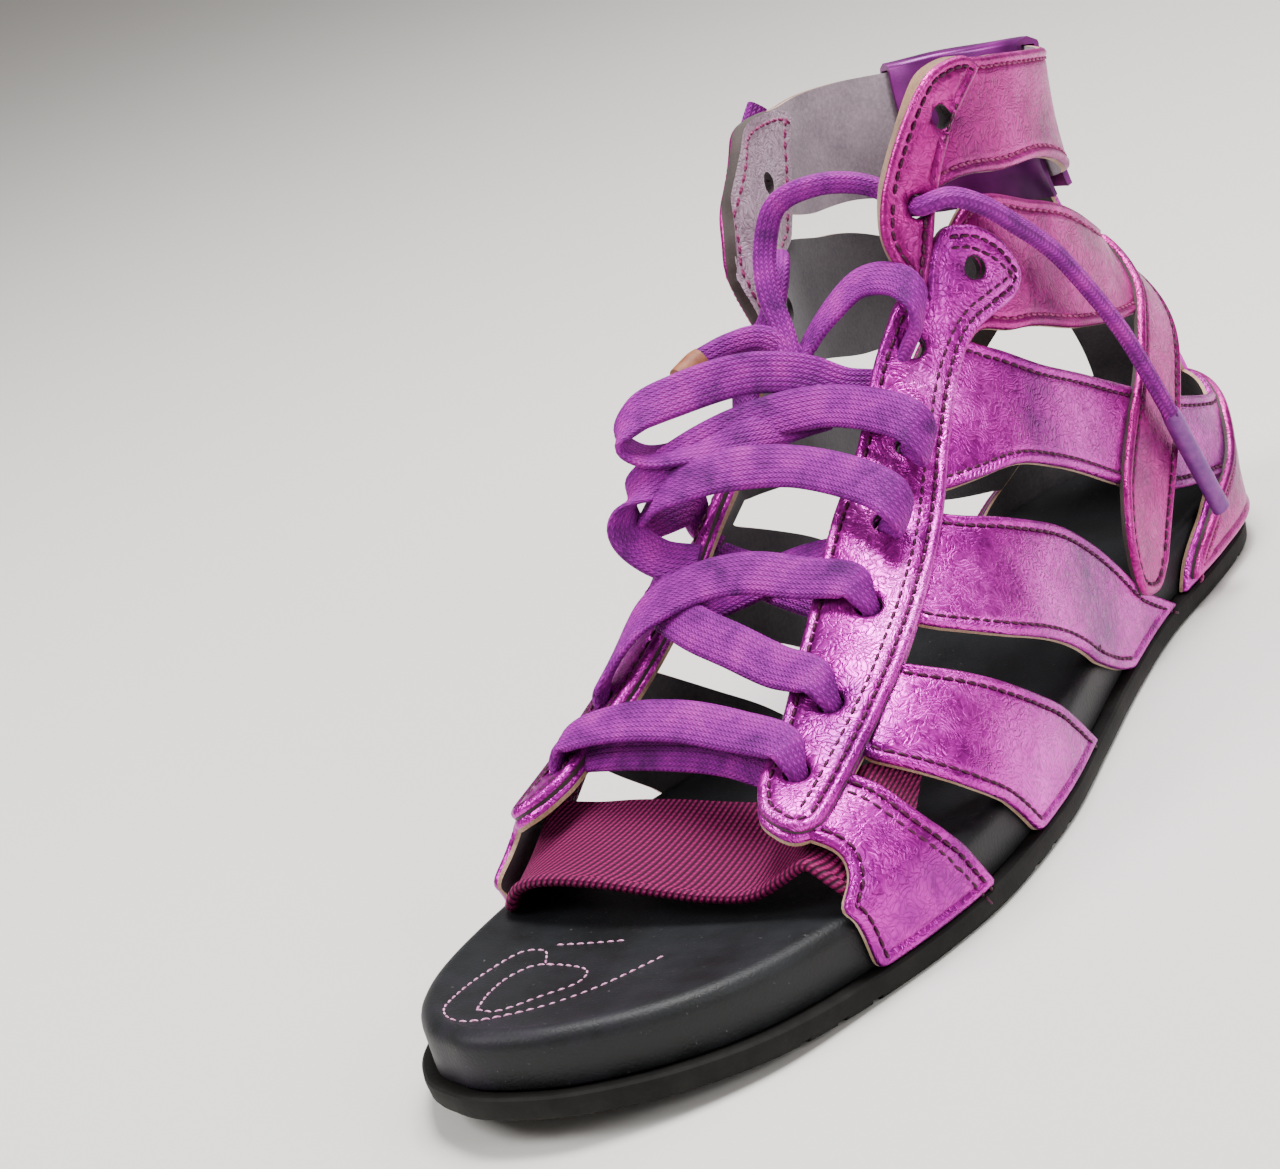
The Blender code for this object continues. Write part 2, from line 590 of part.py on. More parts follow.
def ribbon(path, side, thick, width, sides=6):
    """A flat cord of rounded section along a path; side gives the flat direction."""
    path = np.asarray(path)
    side = np.asarray(side)
    along = np.gradient(path, axis=0)
    along /= np.linalg.norm(along, axis=1, keepdims=True)
    side = side - along * (side * along).sum(1, keepdims=True)
    side /= np.linalg.norm(side, axis=1, keepdims=True)
    up = np.cross(along, side)
    verts = []
    a = (np.arange(sides) + 0.5) * 2 * np.pi / sides
    for p, s, n in zip(path, side, up):
        for t in a:
            x = np.sign(np.cos(t)) * abs(np.cos(t)) ** 0.7
            verts.append(p + s * x * width / 2 + n * np.sin(t) * thick / 2)
    faces = []
    count = len(path)
    for k in range(count - 1):
        for j in range(sides):
            i = (j + 1) % sides
            faces.append((k * sides + j, k * sides + i, (k + 1) * sides + i, (k + 1) * sides + j))
    faces.append(tuple(range(sides))[::-1])
    faces.append(tuple((count - 1) * sides + j for j in range(sides)))
    return np.array(verts), face_out(verts, faces)


def eyelet(index, side, lift):
    u, v = EYELETS[index]
    p, n = last_frame(np.array([u * side]), np.array([v]))
    return p[0] + n[0] * OUT * lift, n[0] * OUT


def lace_run(run, lift=LACE_LIFT):
    """Points from a lateral eyelet over the throat to a medial one, and the flat side."""
    lateral, medial, between = run
    ends = []
    for index, side in ((lateral, 1), (medial, -1)):
        if index is None:
            ends.append(([], np.array([0.2, -1.0, 0.2])))
            continue
        u, v = EYELETS[index]
        p, n = last_frame(np.array([u, u]) * side, np.array([v, 0.97]))
        ahead = last_frame(np.array([u + 0.01]) * side, np.array([v]))[0][0] - p[0]
        rises = np.array([[lift], [lift + EDGE_LIFT]])
        ends.append((list(p + n * OUT * rises), ahead / np.linalg.norm(ahead)))
    middle = [np.array([q[0] * BALL_WIDTH, HEEL_BACK_Y - q[1] * SOLE_LENGTH, q[2] * INSTEP_HEIGHT]) for q in between]
    pts = ends[0][0] + middle + ends[1][0][::-1]
    path = run_through(pts, LACE_RINGS)
    t = np.linspace(0, 1, LACE_RINGS)
    sides = np.array([ends[0][1], [0.1, -1.0, 0.25], ends[1][1]])
    return path, smooth(t, [0.0, 0.5, 1.0], sides)


def add_cord(name, points, diameter, count, mat, folder):
    path = run_through(np.array(points, float) * MM, count)
    curve = bpy.data.curves.new(name, "CURVE")
    curve.dimensions = "3D"
    curve.bevel_depth = diameter / 2
    curve.bevel_resolution = 2
    curve.use_fill_caps = True
    curve.render_resolution_u = 0
    spline = curve.splines.new("POLY")
    spline.points.add(len(path) - 1)
    for point, p in zip(spline.points, path):
        point.co = (*p, 1)
    curve.materials.append(mat)
    obj = bpy.data.objects.new(name, curve)
    folder.objects.link(obj)


def add_helper(name, verts, faces, mat, tools):
    obj = add_object(name, verts, faces, mat, tools)
    obj.hide_render = True
    obj.display_type = "WIRE"
    return obj


def join(obj, helper):
    mod = obj.modifiers.new("join", "BOOLEAN")
    mod.operation = "UNION"
    mod.object = helper
    mod.solver = "EXACT"


def build():
    for obj in list(bpy.data.objects):
        bpy.data.objects.remove(obj, do_unlink=True)
    scene = bpy.context.scene
    folder = bpy.data.collections.new("gladiator_sandal")
    scene.collection.children.link(folder)
    tools = bpy.data.collections.new("cutters")
    scene.collection.children.link(tools)

    leather = make_material("leather", (0.45, 0.08, 0.45), 0.35)
    leather_over = make_material("leather_overlay", (0.45, 0.08, 0.45), 0.35)
    elastic_mat = make_material("elastic_web", (0.19, 0.015, 0.13), 0.8)
    satin = make_material("satin_loop", (0.09, 0.02, 0.07), 0.4)
    rubber = make_material("rubber_sole", (0.02, 0.02, 0.02), 0.7)
    foam = make_material("footbed_cover", (0.02, 0.021, 0.025), 0.6)
    woven = make_material("lace_web", (0.2, 0.03, 0.35), 0.85)

    # Outsole with its ledge, rounded edge and cross grooves
    levels = [(0.0, EDGE_ROUND), (0.22 * OUTSOLE_THICK, 0.2 * EDGE_ROUND), (0.67 * OUTSOLE_THICK, 0.0),
              (OUTSOLE_THICK, 0.5 * EDGE_ROUND)]
    verts, faces = slab(levels, 40, 2)
    outsole = add_object("outsole", verts, face_out(verts, faces), rubber, folder)
    for k, share in enumerate(GROOVES):
        y = HEEL_BACK_Y - share * SOLE_LENGTH
        z = spring(y)
        cv, cf = box_mesh(0, y, z, 1.4 * BALL_WIDTH, LUG_GAP, 2 * LUG_DEPTH)
        cutter = add_object(f"groove_{k}", cv, cf, rubber, tools)
        cutter.hide_render = True
        cutter.display_type = "WIRE"
        mod = outsole.modifiers.new(f"groove_{k}", "BOOLEAN")
        mod.operation = "DIFFERENCE"
        mod.object = cutter
        mod.solver = "EXACT"

    # Footbed slab with rounded shoulders
    base = OUTSOLE_THICK + FIT
    top = base + FOOTBED_THICK
    levels = [(base, LEDGE), (top - 1.1 * SHOULDER, LEDGE), (top - 0.38 * SHOULDER, LEDGE + 0.25 * SHOULDER),
              (top, LEDGE + SHOULDER)]
    verts, faces = slab(levels, 36, 4)
    add_object("footbed", verts, face_out(verts, faces), foam, folder)

    # Upper: one net of leather, cut from the last with its punched holes
    holes = [(u * s, v) for u, v in EYELETS for s in (1, -1)]
    flat, tris = cut_sheet(upper_panels(), holes, SHEET_STEP)
    verts, faces = shell_mesh(flat, tris, -WALL, 0.0)
    add_object("upper", verts, face_out(verts, faces), leather, folder)

    # Overlays raised above the upper
    for label, s in (("lateral", 1), ("medial", -1)):
        panel = EYESTAY_OVER if s > 0 else mirror(EYESTAY_OVER)
        holes = [(u * s, v) for u, v in EYELETS[:OVERLAY_EYELETS]]
        flat, tris = cut_sheet([panel], holes, SHEET_STEP)
        verts, faces = shell_mesh(flat, tris, OVERLAY_GAP, OVERLAY_GAP + OVERLAY_THICK)
        add_object(f"eyestay_{label}", verts, face_out(verts, faces), leather_over, folder)
        panel = SIDE_STRAP if s > 0 else mirror(SIDE_STRAP)
        flat, tris = cut_sheet([panel], [], SHEET_STEP)
        verts, faces = shell_mesh(flat, tris, OVERLAY_GAP, OVERLAY_GAP + OVERLAY_THICK)
        add_object(f"side_strap_{label}", verts, face_out(verts, faces), leather_over, folder)
    flat, tris = cut_sheet([COUNTER_OVER], [], SHEET_STEP)
    verts, faces = shell_mesh(flat, tris, OVERLAY_GAP, OVERLAY_GAP + OVERLAY_THICK)
    add_object("counter", verts, face_out(verts, faces), leather_over, folder)

    # Toe elastic under the front ends of the eyestays
    edges = [elastic_edge(rows) for rows in (ELASTIC_FRONT, ELASTIC_REAR)]
    rows = [edges[0] * (1 - t) + edges[1] * t for t in np.linspace(0, 1, 5)]
    grid = np.array(rows)
    du = np.gradient(grid, axis=0)
    dv = np.gradient(grid, axis=1)
    n = np.cross(du, dv)
    n /= np.linalg.norm(n, axis=-1, keepdims=True)
    if n[..., 2].sum() > 0:
        n = -n
    low = grid + n * ELASTIC_THICK
    a, b = grid.shape[:2]
    verts = np.vstack([grid.reshape(-1, 3), low.reshape(-1, 3)])
    faces = []
    for i in range(a - 1):
        for j in range(b - 1):
            q = (i * b + j, i * b + j + 1, (i + 1) * b + j + 1, (i + 1) * b + j)
            faces.append(q)
            faces.append(tuple(k + a * b for k in q[::-1]))
    loop = [(0, j) for j in range(b)] + [(i, b - 1) for i in range(1, a)]
    loop += [(a - 1, j) for j in range(b - 2, -1, -1)] + [(i, 0) for i in range(a - 2, 0, -1)]
    ids = [i * b + j for i, j in loop]
    for p, q in zip(ids, ids[1:] + ids[:1]):
        faces.append((q, p, p + a * b, q + a * b))
    add_object("toe_elastic", verts, face_out(verts, faces), elastic_mat, folder)

    # Satin sleeve over the back of the collar strap: one bent section run round the heel
    gap = WALL + SLEEVE_EASE
    up = list(np.linspace(0.785, 1.006, 5))
    ease = 2 * FIT
    section = [(ease, v) for v in up[::-1]]
    section += [(ease + SLEEVE, v) for v in up[:-1]] + [(ease + SLEEVE, 1.018), (-gap - SLEEVE, 1.018)]
    section += [(-gap - SLEEVE, v) for v in up[-2::-1]] + [(-gap, v) for v in up]
    stations = np.linspace(-0.095, 0.075, 17)
    verts = []
    for u in stations:
        for offset, v in section:
            p, n = last_frame(np.array([u]), np.array([v]))
            verts.append(p[0] + n[0] * OUT * offset)
    faces = []
    size = len(section)
    for k in range(len(stations) - 1):
        for j in range(size):
            i = (j + 1) % size
            faces.append((k * size + j, k * size + i, (k + 1) * size + i, (k + 1) * size + j))
    first = [(8 - k, 9 - k, k, k + 1) for k in range(4)]
    first += [(9, 10, 19, 0)]
    first += [(13 - k, 14 - k, k + 15, k + 16) for k in range(4)]
    faces.extend(f[::-1] for f in first)
    faces.extend(tuple(i + (len(stations) - 1) * size for i in f) for f in first)
    add_object("collar_loop", verts, face_out(verts, faces), satin, folder)

    # Lace: bars and crossings as joined solids, then the free strands as cords
    verts, faces = ribbon(*lace_run(LACE_BAR_TOE, TOE_BAR_LIFT), LACE_THICK, LACE_WIDTH)
    add_object("lace_bar_toe", verts, faces, woven, folder)
    for name, first, second in (("lace_cross", LACE_CROSS_OVER, LACE_CROSS_UNDER),
                                ("lace_bars_top", LACE_TOP_FRONT, LACE_TOP_REAR)):
        verts, faces = ribbon(*lace_run(first), LACE_THICK, LACE_WIDTH)
        crossing = add_object(name, verts, faces, woven, folder)
        verts, faces = ribbon(*lace_run(second), LACE_THICK, LACE_WIDTH)
        join(crossing, add_helper(f"{name}_second", verts, faces, woven, tools))
    add_cord("lace_loop_front", LOOP_FRONT, CORD_DIAMETER, 8, woven, folder)
    add_cord("lace_loop_back", LOOP_BACK, CORD_DIAMETER, 8, woven, folder)
    add_cord("lace_rise", STRAND_RISE, CORD_DIAMETER, 9, woven, folder)
    add_cord("lace_end_lateral", STRAND_FREE, CORD_DIAMETER, 14, woven, folder)
    add_cord("lace_end_medial", STRAND_SHORT, CORD_DIAMETER, 4, woven, folder)
    add_cord("lace_tip_lateral", STRAND_TIP, TIP_DIAMETER, 2, woven, folder)
    add_cord("lace_tip_medial", STRAND_SHORT_TIP, TIP_DIAMETER, 2, woven, folder)


if __name__ == "__main__":
    build()
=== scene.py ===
"""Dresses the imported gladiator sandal: leather straps, eyestays, laces, elastic, sole and stage."""

import bmesh
import bpy
import numpy as np
from bpy.props import FloatProperty, FloatVectorProperty, PointerProperty
from bpy.types import Operator, Panel, PropertyGroup
from mathutils import Matrix, Vector
from mathutils.geometry import delaunay_2d_cdt
from mathutils.kdtree import KDTree


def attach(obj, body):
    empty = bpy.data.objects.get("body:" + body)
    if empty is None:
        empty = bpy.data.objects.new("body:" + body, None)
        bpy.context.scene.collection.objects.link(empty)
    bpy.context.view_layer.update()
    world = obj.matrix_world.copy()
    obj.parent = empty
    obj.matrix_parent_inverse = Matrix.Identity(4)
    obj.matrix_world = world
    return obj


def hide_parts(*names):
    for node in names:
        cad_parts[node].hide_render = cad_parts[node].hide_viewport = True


bl_info = {
    "name": "Gladiator Sandal",
    "version": (1, 0, 0),
    "blender": (4, 5, 0),
    "location": "View3D > Sidebar > Sandal",
    "description": "Builds the visible pieces of a lace-up gladiator sandal over its solid model",
    "category": "Object",
}

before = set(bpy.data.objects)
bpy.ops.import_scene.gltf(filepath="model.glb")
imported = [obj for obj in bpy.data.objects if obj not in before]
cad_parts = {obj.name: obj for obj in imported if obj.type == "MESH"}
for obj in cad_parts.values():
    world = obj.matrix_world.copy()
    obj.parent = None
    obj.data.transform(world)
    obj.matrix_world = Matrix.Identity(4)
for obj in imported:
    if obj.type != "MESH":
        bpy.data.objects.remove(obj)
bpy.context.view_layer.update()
MM = 0.001

# Sizes of the last, as in the part's source, in metres
SOLE_LENGTH = 0.257
HEEL_BACK_Y = 0.033
BALL_WIDTH = 0.088
OUTSOLE_THICK = 0.0045
FOOTBED_THICK = 0.0105
TOE_SPRING = 0.006
SPRING_START = 0.74
LEDGE = 0.0026
FIT = 0.0003
BED_GAP = 0.0005
WALL = 0.0018
HOLE_RADIUS = 0.0023
INSTEP_HEIGHT = 0.0865
COLLAR_HEIGHT = 0.130
THROAT_HALF = 0.0132
ANKLE_HALF = 0.0255
THROAT_SHIFT = -0.0035
MEDIAL_TUCK = 0.004
MEDIAL_DROP = 0.007
MEDIAL_FLARE = 0.0088
LUG_DEPTH = 0.0009
LUG_GAP = 0.0022
LOW_SHARE = 0.12
EDGE_ROUND = 0.0012
SHOULDER = 0.0032
ELASTIC_GAP = 0.0004
DISH = 0.0012
TANGENT_STEP = 0.004
NORMAL_STEP = 0.004
SLOPE_STEP = 0.003
GROOVES = (0.030, 0.055, 0.080, 0.105, 0.56, 0.59, 0.62, 0.80, 0.83, 0.86)

# Outline of the sole: share of the length from the heel, then lateral and medial width as
# shares of the ball width
OUTLINE = [
    (0.00, 0.0000, 0.0000),
    (0.02, 0.1705, -0.1659),
    (0.07, 0.2795, -0.2750),
    (0.15, 0.3159, -0.3307),
    (0.25, 0.3284, -0.3261),
    (0.35, 0.3754, -0.2989),
    (0.45, 0.4405, -0.3000),
    (0.55, 0.5033, -0.3477),
    (0.65, 0.5250, -0.4295),
    (0.72, 0.5050, -0.4750),
    (0.80, 0.4480, -0.4770),
    (0.88, 0.3680, -0.4350),
    (0.94, 0.2513, -0.3540),
    (0.98, 0.1150, -0.2450),
    (0.995, 0.0100, -0.1500),
    (1.00, -0.0780, -0.0780),
]

# Top line: place round the rim, half width, place from the heel back, height, rise, side share,
# drop, low lean and high lean, as shares of the named sizes
COLLAR_LINE = [
    (0.00, 0.0000, 0.1200, 0.9008, 0.40, 0.00, 0.50, -0.48, -0.50),
    (0.06, 0.4202, 0.1285, 0.9046, 0.40, -0.42, 0.50, -0.47, -0.50),
    (0.12, 0.7380, 0.1574, 0.9115, 0.38, -0.60, 0.48, -0.37, -0.41),
    (0.18, 0.9223, 0.2050, 0.9328, 0.36, -0.52, 0.42, -0.22, -0.22),
    (0.25, 1.0200, 0.2756, 0.9664, 0.36, -0.25, 0.36, -0.06, 0.03),
    (0.32, 0.9648, 0.3580, 1.0000, 0.38, 0.04, 0.30, 0.12, 0.30),
    (0.38, 0.6863, 0.3969, 0.8692, 0.42, 0.22, 0.25, 0.12, 0.33),
]
THROAT_LINE = [
    (0.45, 1.0227, 0.4397, 1.0000, 0.45, 0.38, 0.17, 0.12, 0.33),
    (0.52, 1.0000, 0.4903, 0.8092, 0.45, 0.45, 0.12, 0.12, 0.33),
    (0.58, 1.0000, 0.5447, 0.7052, 0.45, 0.48, 0.10, 0.12, 0.33),
    (0.65, 1.0000, 0.5992, 0.5954, 0.45, 0.50, 0.08, 0.12, 0.33),
    (0.72, 1.0000, 0.6732, 0.4798, 0.45, 0.52, 0.06, 0.12, 0.33),
    (0.78, 1.0000, 0.7276, 0.4162, 0.45, 0.55, 0.05, 0.12, 0.33),
    (0.84, 0.9848, 0.7821, 0.3757, 0.45, 0.55, 0.05, 0.12, 0.33),
    (0.92, 0.9091, 0.8677, 0.3121, 0.45, 0.55, 0.05, 0.12, 0.33),
]

# The pattern: each panel is a list of edges, each edge a smooth run of (u, v) points.
# u runs round the rim from the heel back (0) to the toe (1), v from the sole to the top line
TOE_STRAP = [
    [(0.743, 0.0), (0.747, 0.10), (0.757, 0.20), (0.747, 0.30), (0.748, 0.40), (0.772, 0.56)],
    [(0.772, 0.56), (0.73, 0.66)],
    [(0.73, 0.66), (0.706, 0.50), (0.684, 0.308), (0.658, 0.134), (0.637, 0.0)],
]
SECOND_STRAP = [
    [(0.577, 0.0), (0.592, 0.07), (0.634, 0.236), (0.669, 0.393), (0.70, 0.56), (0.703, 0.62)],
    [(0.703, 0.62), (0.65, 0.70)],
    [(0.65, 0.70), (0.636, 0.61), (0.590, 0.436), (0.538, 0.261), (0.491, 0.123), (0.455, 0.0)],
]
THIRD_STRAP = [
    [(0.352, 0.0), (0.377, 0.04), (0.435, 0.165), (0.530, 0.385), (0.600, 0.620), (0.61, 0.69)],
    [(0.61, 0.69), (0.53, 0.76)],
    [(0.53, 0.76), (0.515, 0.66), (0.433, 0.41), (0.330, 0.18), (0.25, 0.0)],
]
FOURTH_STRAP = [
    [(0.52, 0.76), (0.495, 0.67), (0.418, 0.485), (0.36, 0.372), (0.304, 0.294), (0.214, 0.20),
     (0.13, 0.14)],
    [(0.13, 0.14), (0.04, 0.14)],
    [(0.04, 0.14), (0.04, 0.235)],
    [(0.04, 0.235), (0.09, 0.26), (0.16, 0.33), (0.225, 0.407), (0.262, 0.445), (0.32, 0.49),
     (0.37, 0.60), (0.40, 0.70)],
    [(0.40, 0.70), (0.44, 0.76)],
]
COUNTER = [
    [(0.236, 0.0), (0.215, 0.07), (0.170, 0.133), (0.123, 0.180), (0.092, 0.255), (0.05, 0.28),
     (0.0, 0.29),
     (-0.05, 0.28), (-0.092, 0.255), (-0.123, 0.180), (-0.170, 0.133), (-0.215, 0.07),
     (-0.236, 0.0)],
]
BACK_STRAP = [
    [(0.045, 0.22), (0.042, 0.5), (0.042, 0.88)],
    [(0.042, 0.88), (-0.042, 0.88)],
    [(-0.042, 0.88), (-0.042, 0.5), (-0.045, 0.22)],
]
ANKLE_STRAP = [
    [(0.40, 0.655), (0.375, 0.64), (0.328, 0.56), (0.219, 0.528), (0.12, 0.52), (0.0, 0.515),
     (-0.12, 0.52), (-0.219, 0.528), (-0.328, 0.56), (-0.375, 0.64), (-0.40, 0.655)],
    [(-0.40, 0.655), (-0.41, 0.74), (-0.36, 0.775)],
    [(-0.36, 0.775), (-0.325, 0.771), (-0.218, 0.759), (-0.12, 0.715), (0.0, 0.695), (0.12, 0.715),
     (0.218, 0.759), (0.325, 0.771), (0.36, 0.775)],
    [(0.36, 0.775), (0.41, 0.74), (0.40, 0.655)],
]
COLLAR_STRAP = [
    [(0.35, 0.845), (0.337, 0.824), (0.312, 0.804), (0.283, 0.807), (0.249, 0.826),
     (0.206, 0.838), (0.10, 0.825),
     (0.0, 0.81), (-0.10, 0.805), (-0.19, 0.815), (-0.266, 0.810), (-0.341, 0.838), (-0.35, 0.845)],
    [(-0.35, 0.845), (-0.33, 0.89), (-0.29, 0.98)],
    [(-0.29, 0.98), (-0.27, 0.992), (-0.2, 0.996), (-0.1, 0.997), (0.0, 0.998), (0.1, 0.997),
     (0.2, 0.996), (0.27, 0.992), (0.29, 0.98)],
    [(0.29, 0.98), (0.33, 0.89), (0.35, 0.845)],
]
TAB = [
    [(0.268, 0.975), (0.277, 0.992), (0.308, 0.981), (0.345, 0.981), (0.371, 0.989),
     (0.390, 0.995)],
    [(0.390, 0.995), (0.402, 0.985), (0.407, 0.955), (0.408, 0.90), (0.407, 0.835)],
    [(0.407, 0.835), (0.403, 0.805), (0.392, 0.797), (0.376, 0.803), (0.361, 0.818),
     (0.345, 0.840)],
    [(0.345, 0.840), (0.311, 0.885), (0.268, 0.975)],
]
# The medial tab reaches farther back and lower on its inside
MEDIAL_TAB = [
    [(0.245, 0.975), (0.262, 0.992), (0.308, 0.983), (0.345, 0.983), (0.371, 0.989),
     (0.390, 0.995)],
    [(0.390, 0.995), (0.402, 0.985), (0.407, 0.955), (0.408, 0.90), (0.407, 0.80)],
    [(0.407, 0.80), (0.400, 0.768), (0.380, 0.752), (0.345, 0.75), (0.312, 0.758), (0.298, 0.768)],
    [(0.298, 0.768), (0.280, 0.83), (0.267, 0.89), (0.257, 0.939), (0.245, 0.975)],
]
EYESTAY = [
    [(0.404, 0.79), (0.418, 0.89), (0.442, 0.945), (0.475, 0.985), (0.55, 0.995), (0.62, 0.985),
     (0.684, 0.945),
     (0.74, 0.875), (0.785, 0.83)],
    [(0.785, 0.83), (0.797, 0.75), (0.791, 0.65), (0.774, 0.54), (0.753, 0.50)],
    [(0.753, 0.50), (0.710, 0.568), (0.632, 0.617), (0.587, 0.635), (0.496, 0.690), (0.42, 0.69),
     (0.389, 0.675)],
    [(0.389, 0.675), (0.37, 0.72), (0.404, 0.79)],
]
# The folded eyestay with its rounded ear over the ankle strap
EYESTAY_OVER = [
    [(0.405, 0.80), (0.418, 0.885), (0.442, 0.940), (0.475, 0.980), (0.55, 0.990), (0.62, 0.980),
     (0.684, 0.940),
     (0.74, 0.870), (0.783, 0.825)],
    [(0.783, 0.825), (0.794, 0.75), (0.788, 0.65), (0.772, 0.55), (0.756, 0.52)],
    [(0.756, 0.52), (0.710, 0.572), (0.632, 0.622), (0.587, 0.640), (0.496, 0.690), (0.44, 0.690),
     (0.405, 0.672),
     (0.376, 0.648), (0.353, 0.624), (0.328, 0.610), (0.310, 0.630), (0.311, 0.680), (0.328, 0.732),
     (0.346, 0.772), (0.358, 0.80)],
    [(0.358, 0.80), (0.380, 0.812), (0.405, 0.80)],
]
SIDE_STRAP = [
    [(0.062, 0.68), (0.120, 0.592), (0.167, 0.52), (0.219, 0.413), (0.259, 0.332), (0.288, 0.27)],
    [(0.288, 0.27), (0.312, 0.19), (0.312, 0.12), (0.285, 0.088), (0.259, 0.125)],
    [(0.259, 0.125), (0.233, 0.188), (0.194, 0.284), (0.16, 0.363), (0.112, 0.455), (0.055, 0.565)],
    [(0.055, 0.565), (0.062, 0.68)],
]
COUNTER_OVER = [
    [(0.228, 0.02), (0.212, 0.066), (0.168, 0.128), (0.120, 0.172), (0.089, 0.235), (0.05, 0.262),
     (0.0, 0.27),
     (-0.05, 0.262), (-0.089, 0.235), (-0.120, 0.172), (-0.168, 0.128), (-0.212, 0.066),
     (-0.228, 0.02)],
]
# Punched holes: place round the rim and height. The first six are the eyestay's, the seventh is
# the ear's, the last two are the tab's
HOLES = [
    (0.752, 0.716),
    (0.699, 0.751),
    (0.629, 0.779),
    (0.563, 0.824),
    (0.500, 0.823),
    (0.436, 0.838),
    (0.349, 0.700),
    (0.366, 0.869),
    (0.317, 0.908),
]
# The tabs' first hole in the list above, and where the medial tab's two holes are
FIRST_TAB_HOLE = 7
MEDIAL_TAB_HOLES = [(0.347, 0.800), (0.302, 0.876)]
# Toe elastic: place round the rim and height of its front edge, then of its rear edge
ELASTIC_FRONT = [
    (0.700, 0.12), (0.738, 0.20), (0.3977, 0.7879, 0.2486),
    (0.3409, 0.7879, 0.2875), (0.2841, 0.7899, 0.2613), (0.2102, 0.7938, 0.2258),
    (0.1136, 0.7977, 0.2235), (-0.0057, 0.8019, 0.2404), (-0.1364, 0.8070, 0.2636),
    (-0.2670, 0.8109, 0.2705), (-0.3400, 0.8109, 0.2480), (-0.3750, 0.8109, 0.2080),
    (-0.735, 0.10),
]
ELASTIC_REAR = [
    (0.655, 0.42), (0.700, 0.56), (0.2727, 0.7082, 0.3353),
    (0.1591, 0.7136, 0.3006), (0.0568, 0.7191, 0.3052), (-0.0568, 0.7249, 0.3191),
    (-0.1591, 0.7307, 0.3272), (-0.2648, 0.7358, 0.3283), (-0.730, 0.52),
    (-0.680, 0.40),
]


# How far in from an edge its stitches run
STITCH_IN = 0.0021
# Soft troughs and swells of the leather: two pattern points, then width and height in mm
FOLDS = [
    (0.42, 0.50, 0.47, 0.66, 5.0, -0.6),
    (0.45, 0.48, 0.50, 0.64, 5.0, 0.6),
    (0.53, 0.40, 0.60, 0.62, 5.0, -0.5),
    (0.55, 0.36, 0.62, 0.58, 5.0, 0.5),
    (0.64, 0.28, 0.69, 0.52, 5.0, -0.5),
    (0.67, 0.30, 0.71, 0.56, 4.0, 0.4),
    (-0.42, 0.50, -0.47, 0.66, 5.0, -0.6),
    (-0.53, 0.40, -0.60, 0.62, 5.0, -0.5),
    (-0.64, 0.28, -0.69, 0.52, 5.0, -0.5),
]


def smooth(x, xs, ys):
    """Smooth curve through a table, read at x."""
    xs = np.asarray(xs, float)
    ys = np.asarray(ys, float)
    single = ys.ndim == 1
    if single:
        ys = ys[:, None]
    slope = np.diff(ys, axis=0) / np.diff(xs)[:, None]
    h = np.diff(xs)[:, None]
    m = np.empty_like(ys)
    m[1:-1] = (slope[:-1] * h[1:] + slope[1:] * h[:-1]) / (h[1:] + h[:-1])
    m[0] = slope[0]
    m[-1] = slope[-1]
    x = np.asarray(x, float)
    i = np.clip(np.searchsorted(xs, x, side="right") - 1, 0, len(xs) - 2)
    step = (xs[i + 1] - xs[i])[..., None]
    t = (x[..., None] - xs[i][..., None]) / step
    out = (2 * t**3 - 3 * t**2 + 1) * ys[i] + (t**3 - 2 * t**2 + t) * step * m[i]
    out = out + (3 * t**2 - 2 * t**3) * ys[i + 1] + (t**3 - t**2) * step * m[i + 1]
    return out[..., 0] if single else out


def travel(points):
    """Distance run at each of a row of points."""
    return np.r_[0, np.cumsum(np.linalg.norm(np.diff(points, axis=0), axis=1))]


def read_at(want, at, rows):
    """Rows of values read at other distances."""
    return np.stack([np.interp(want, at, column) for column in rows.T], 1)


def unit(v):
    return v / np.maximum(np.linalg.norm(v, axis=-1, keepdims=True), 1e-12)


def run_through(points, count):
    """A smooth run of count points through a few 2-D or 3-D ones."""
    p = np.asarray(points, float)
    if len(p) == 2:
        t = np.linspace(0, 1, count)[:, None]
        return p[0] * (1 - t) + p[1] * t
    gap = np.linalg.norm(np.diff(p, axis=0), axis=1)
    at = np.r_[0, np.cumsum(np.sqrt(gap))]
    return smooth(np.linspace(0, at[-1], count), at, p)


def ease(t):
    """A smooth step from 0 to 1."""
    t = np.clip(t, 0, 1)
    return t * t * (3 - 2 * t)


def spring(y):
    """Rise of the sole's underside at the toe."""
    share = (HEEL_BACK_Y - y) / SOLE_LENGTH
    return TOE_SPRING * np.clip((share - SPRING_START) / (1 - SPRING_START), 0, None) ** 2


def trace_outline():
    """The sole's outline as a closed run of points, and the distance along it."""
    table = np.array(OUTLINE)
    lateral = np.c_[table[:, 1], table[:, 0]]
    medial = np.c_[table[::-1, 2], table[::-1, 0]][1:]
    pts = np.vstack([medial[-2:-1], lateral, medial, lateral[1:2]])
    t = np.arange(len(pts)) - 1.0
    q = smooth(np.linspace(0, 2 * (len(table) - 1), 1920), t, pts)
    ring = np.c_[q[:, 0] * BALL_WIDTH, HEEL_BACK_Y - q[:, 1] * SOLE_LENGTH]
    return ring, travel(ring)


RING, RING_ALONG = trace_outline()
TOE_AT = RING_ALONG[RING[:, 1].argmin()]
RING_END = RING_ALONG[-1]


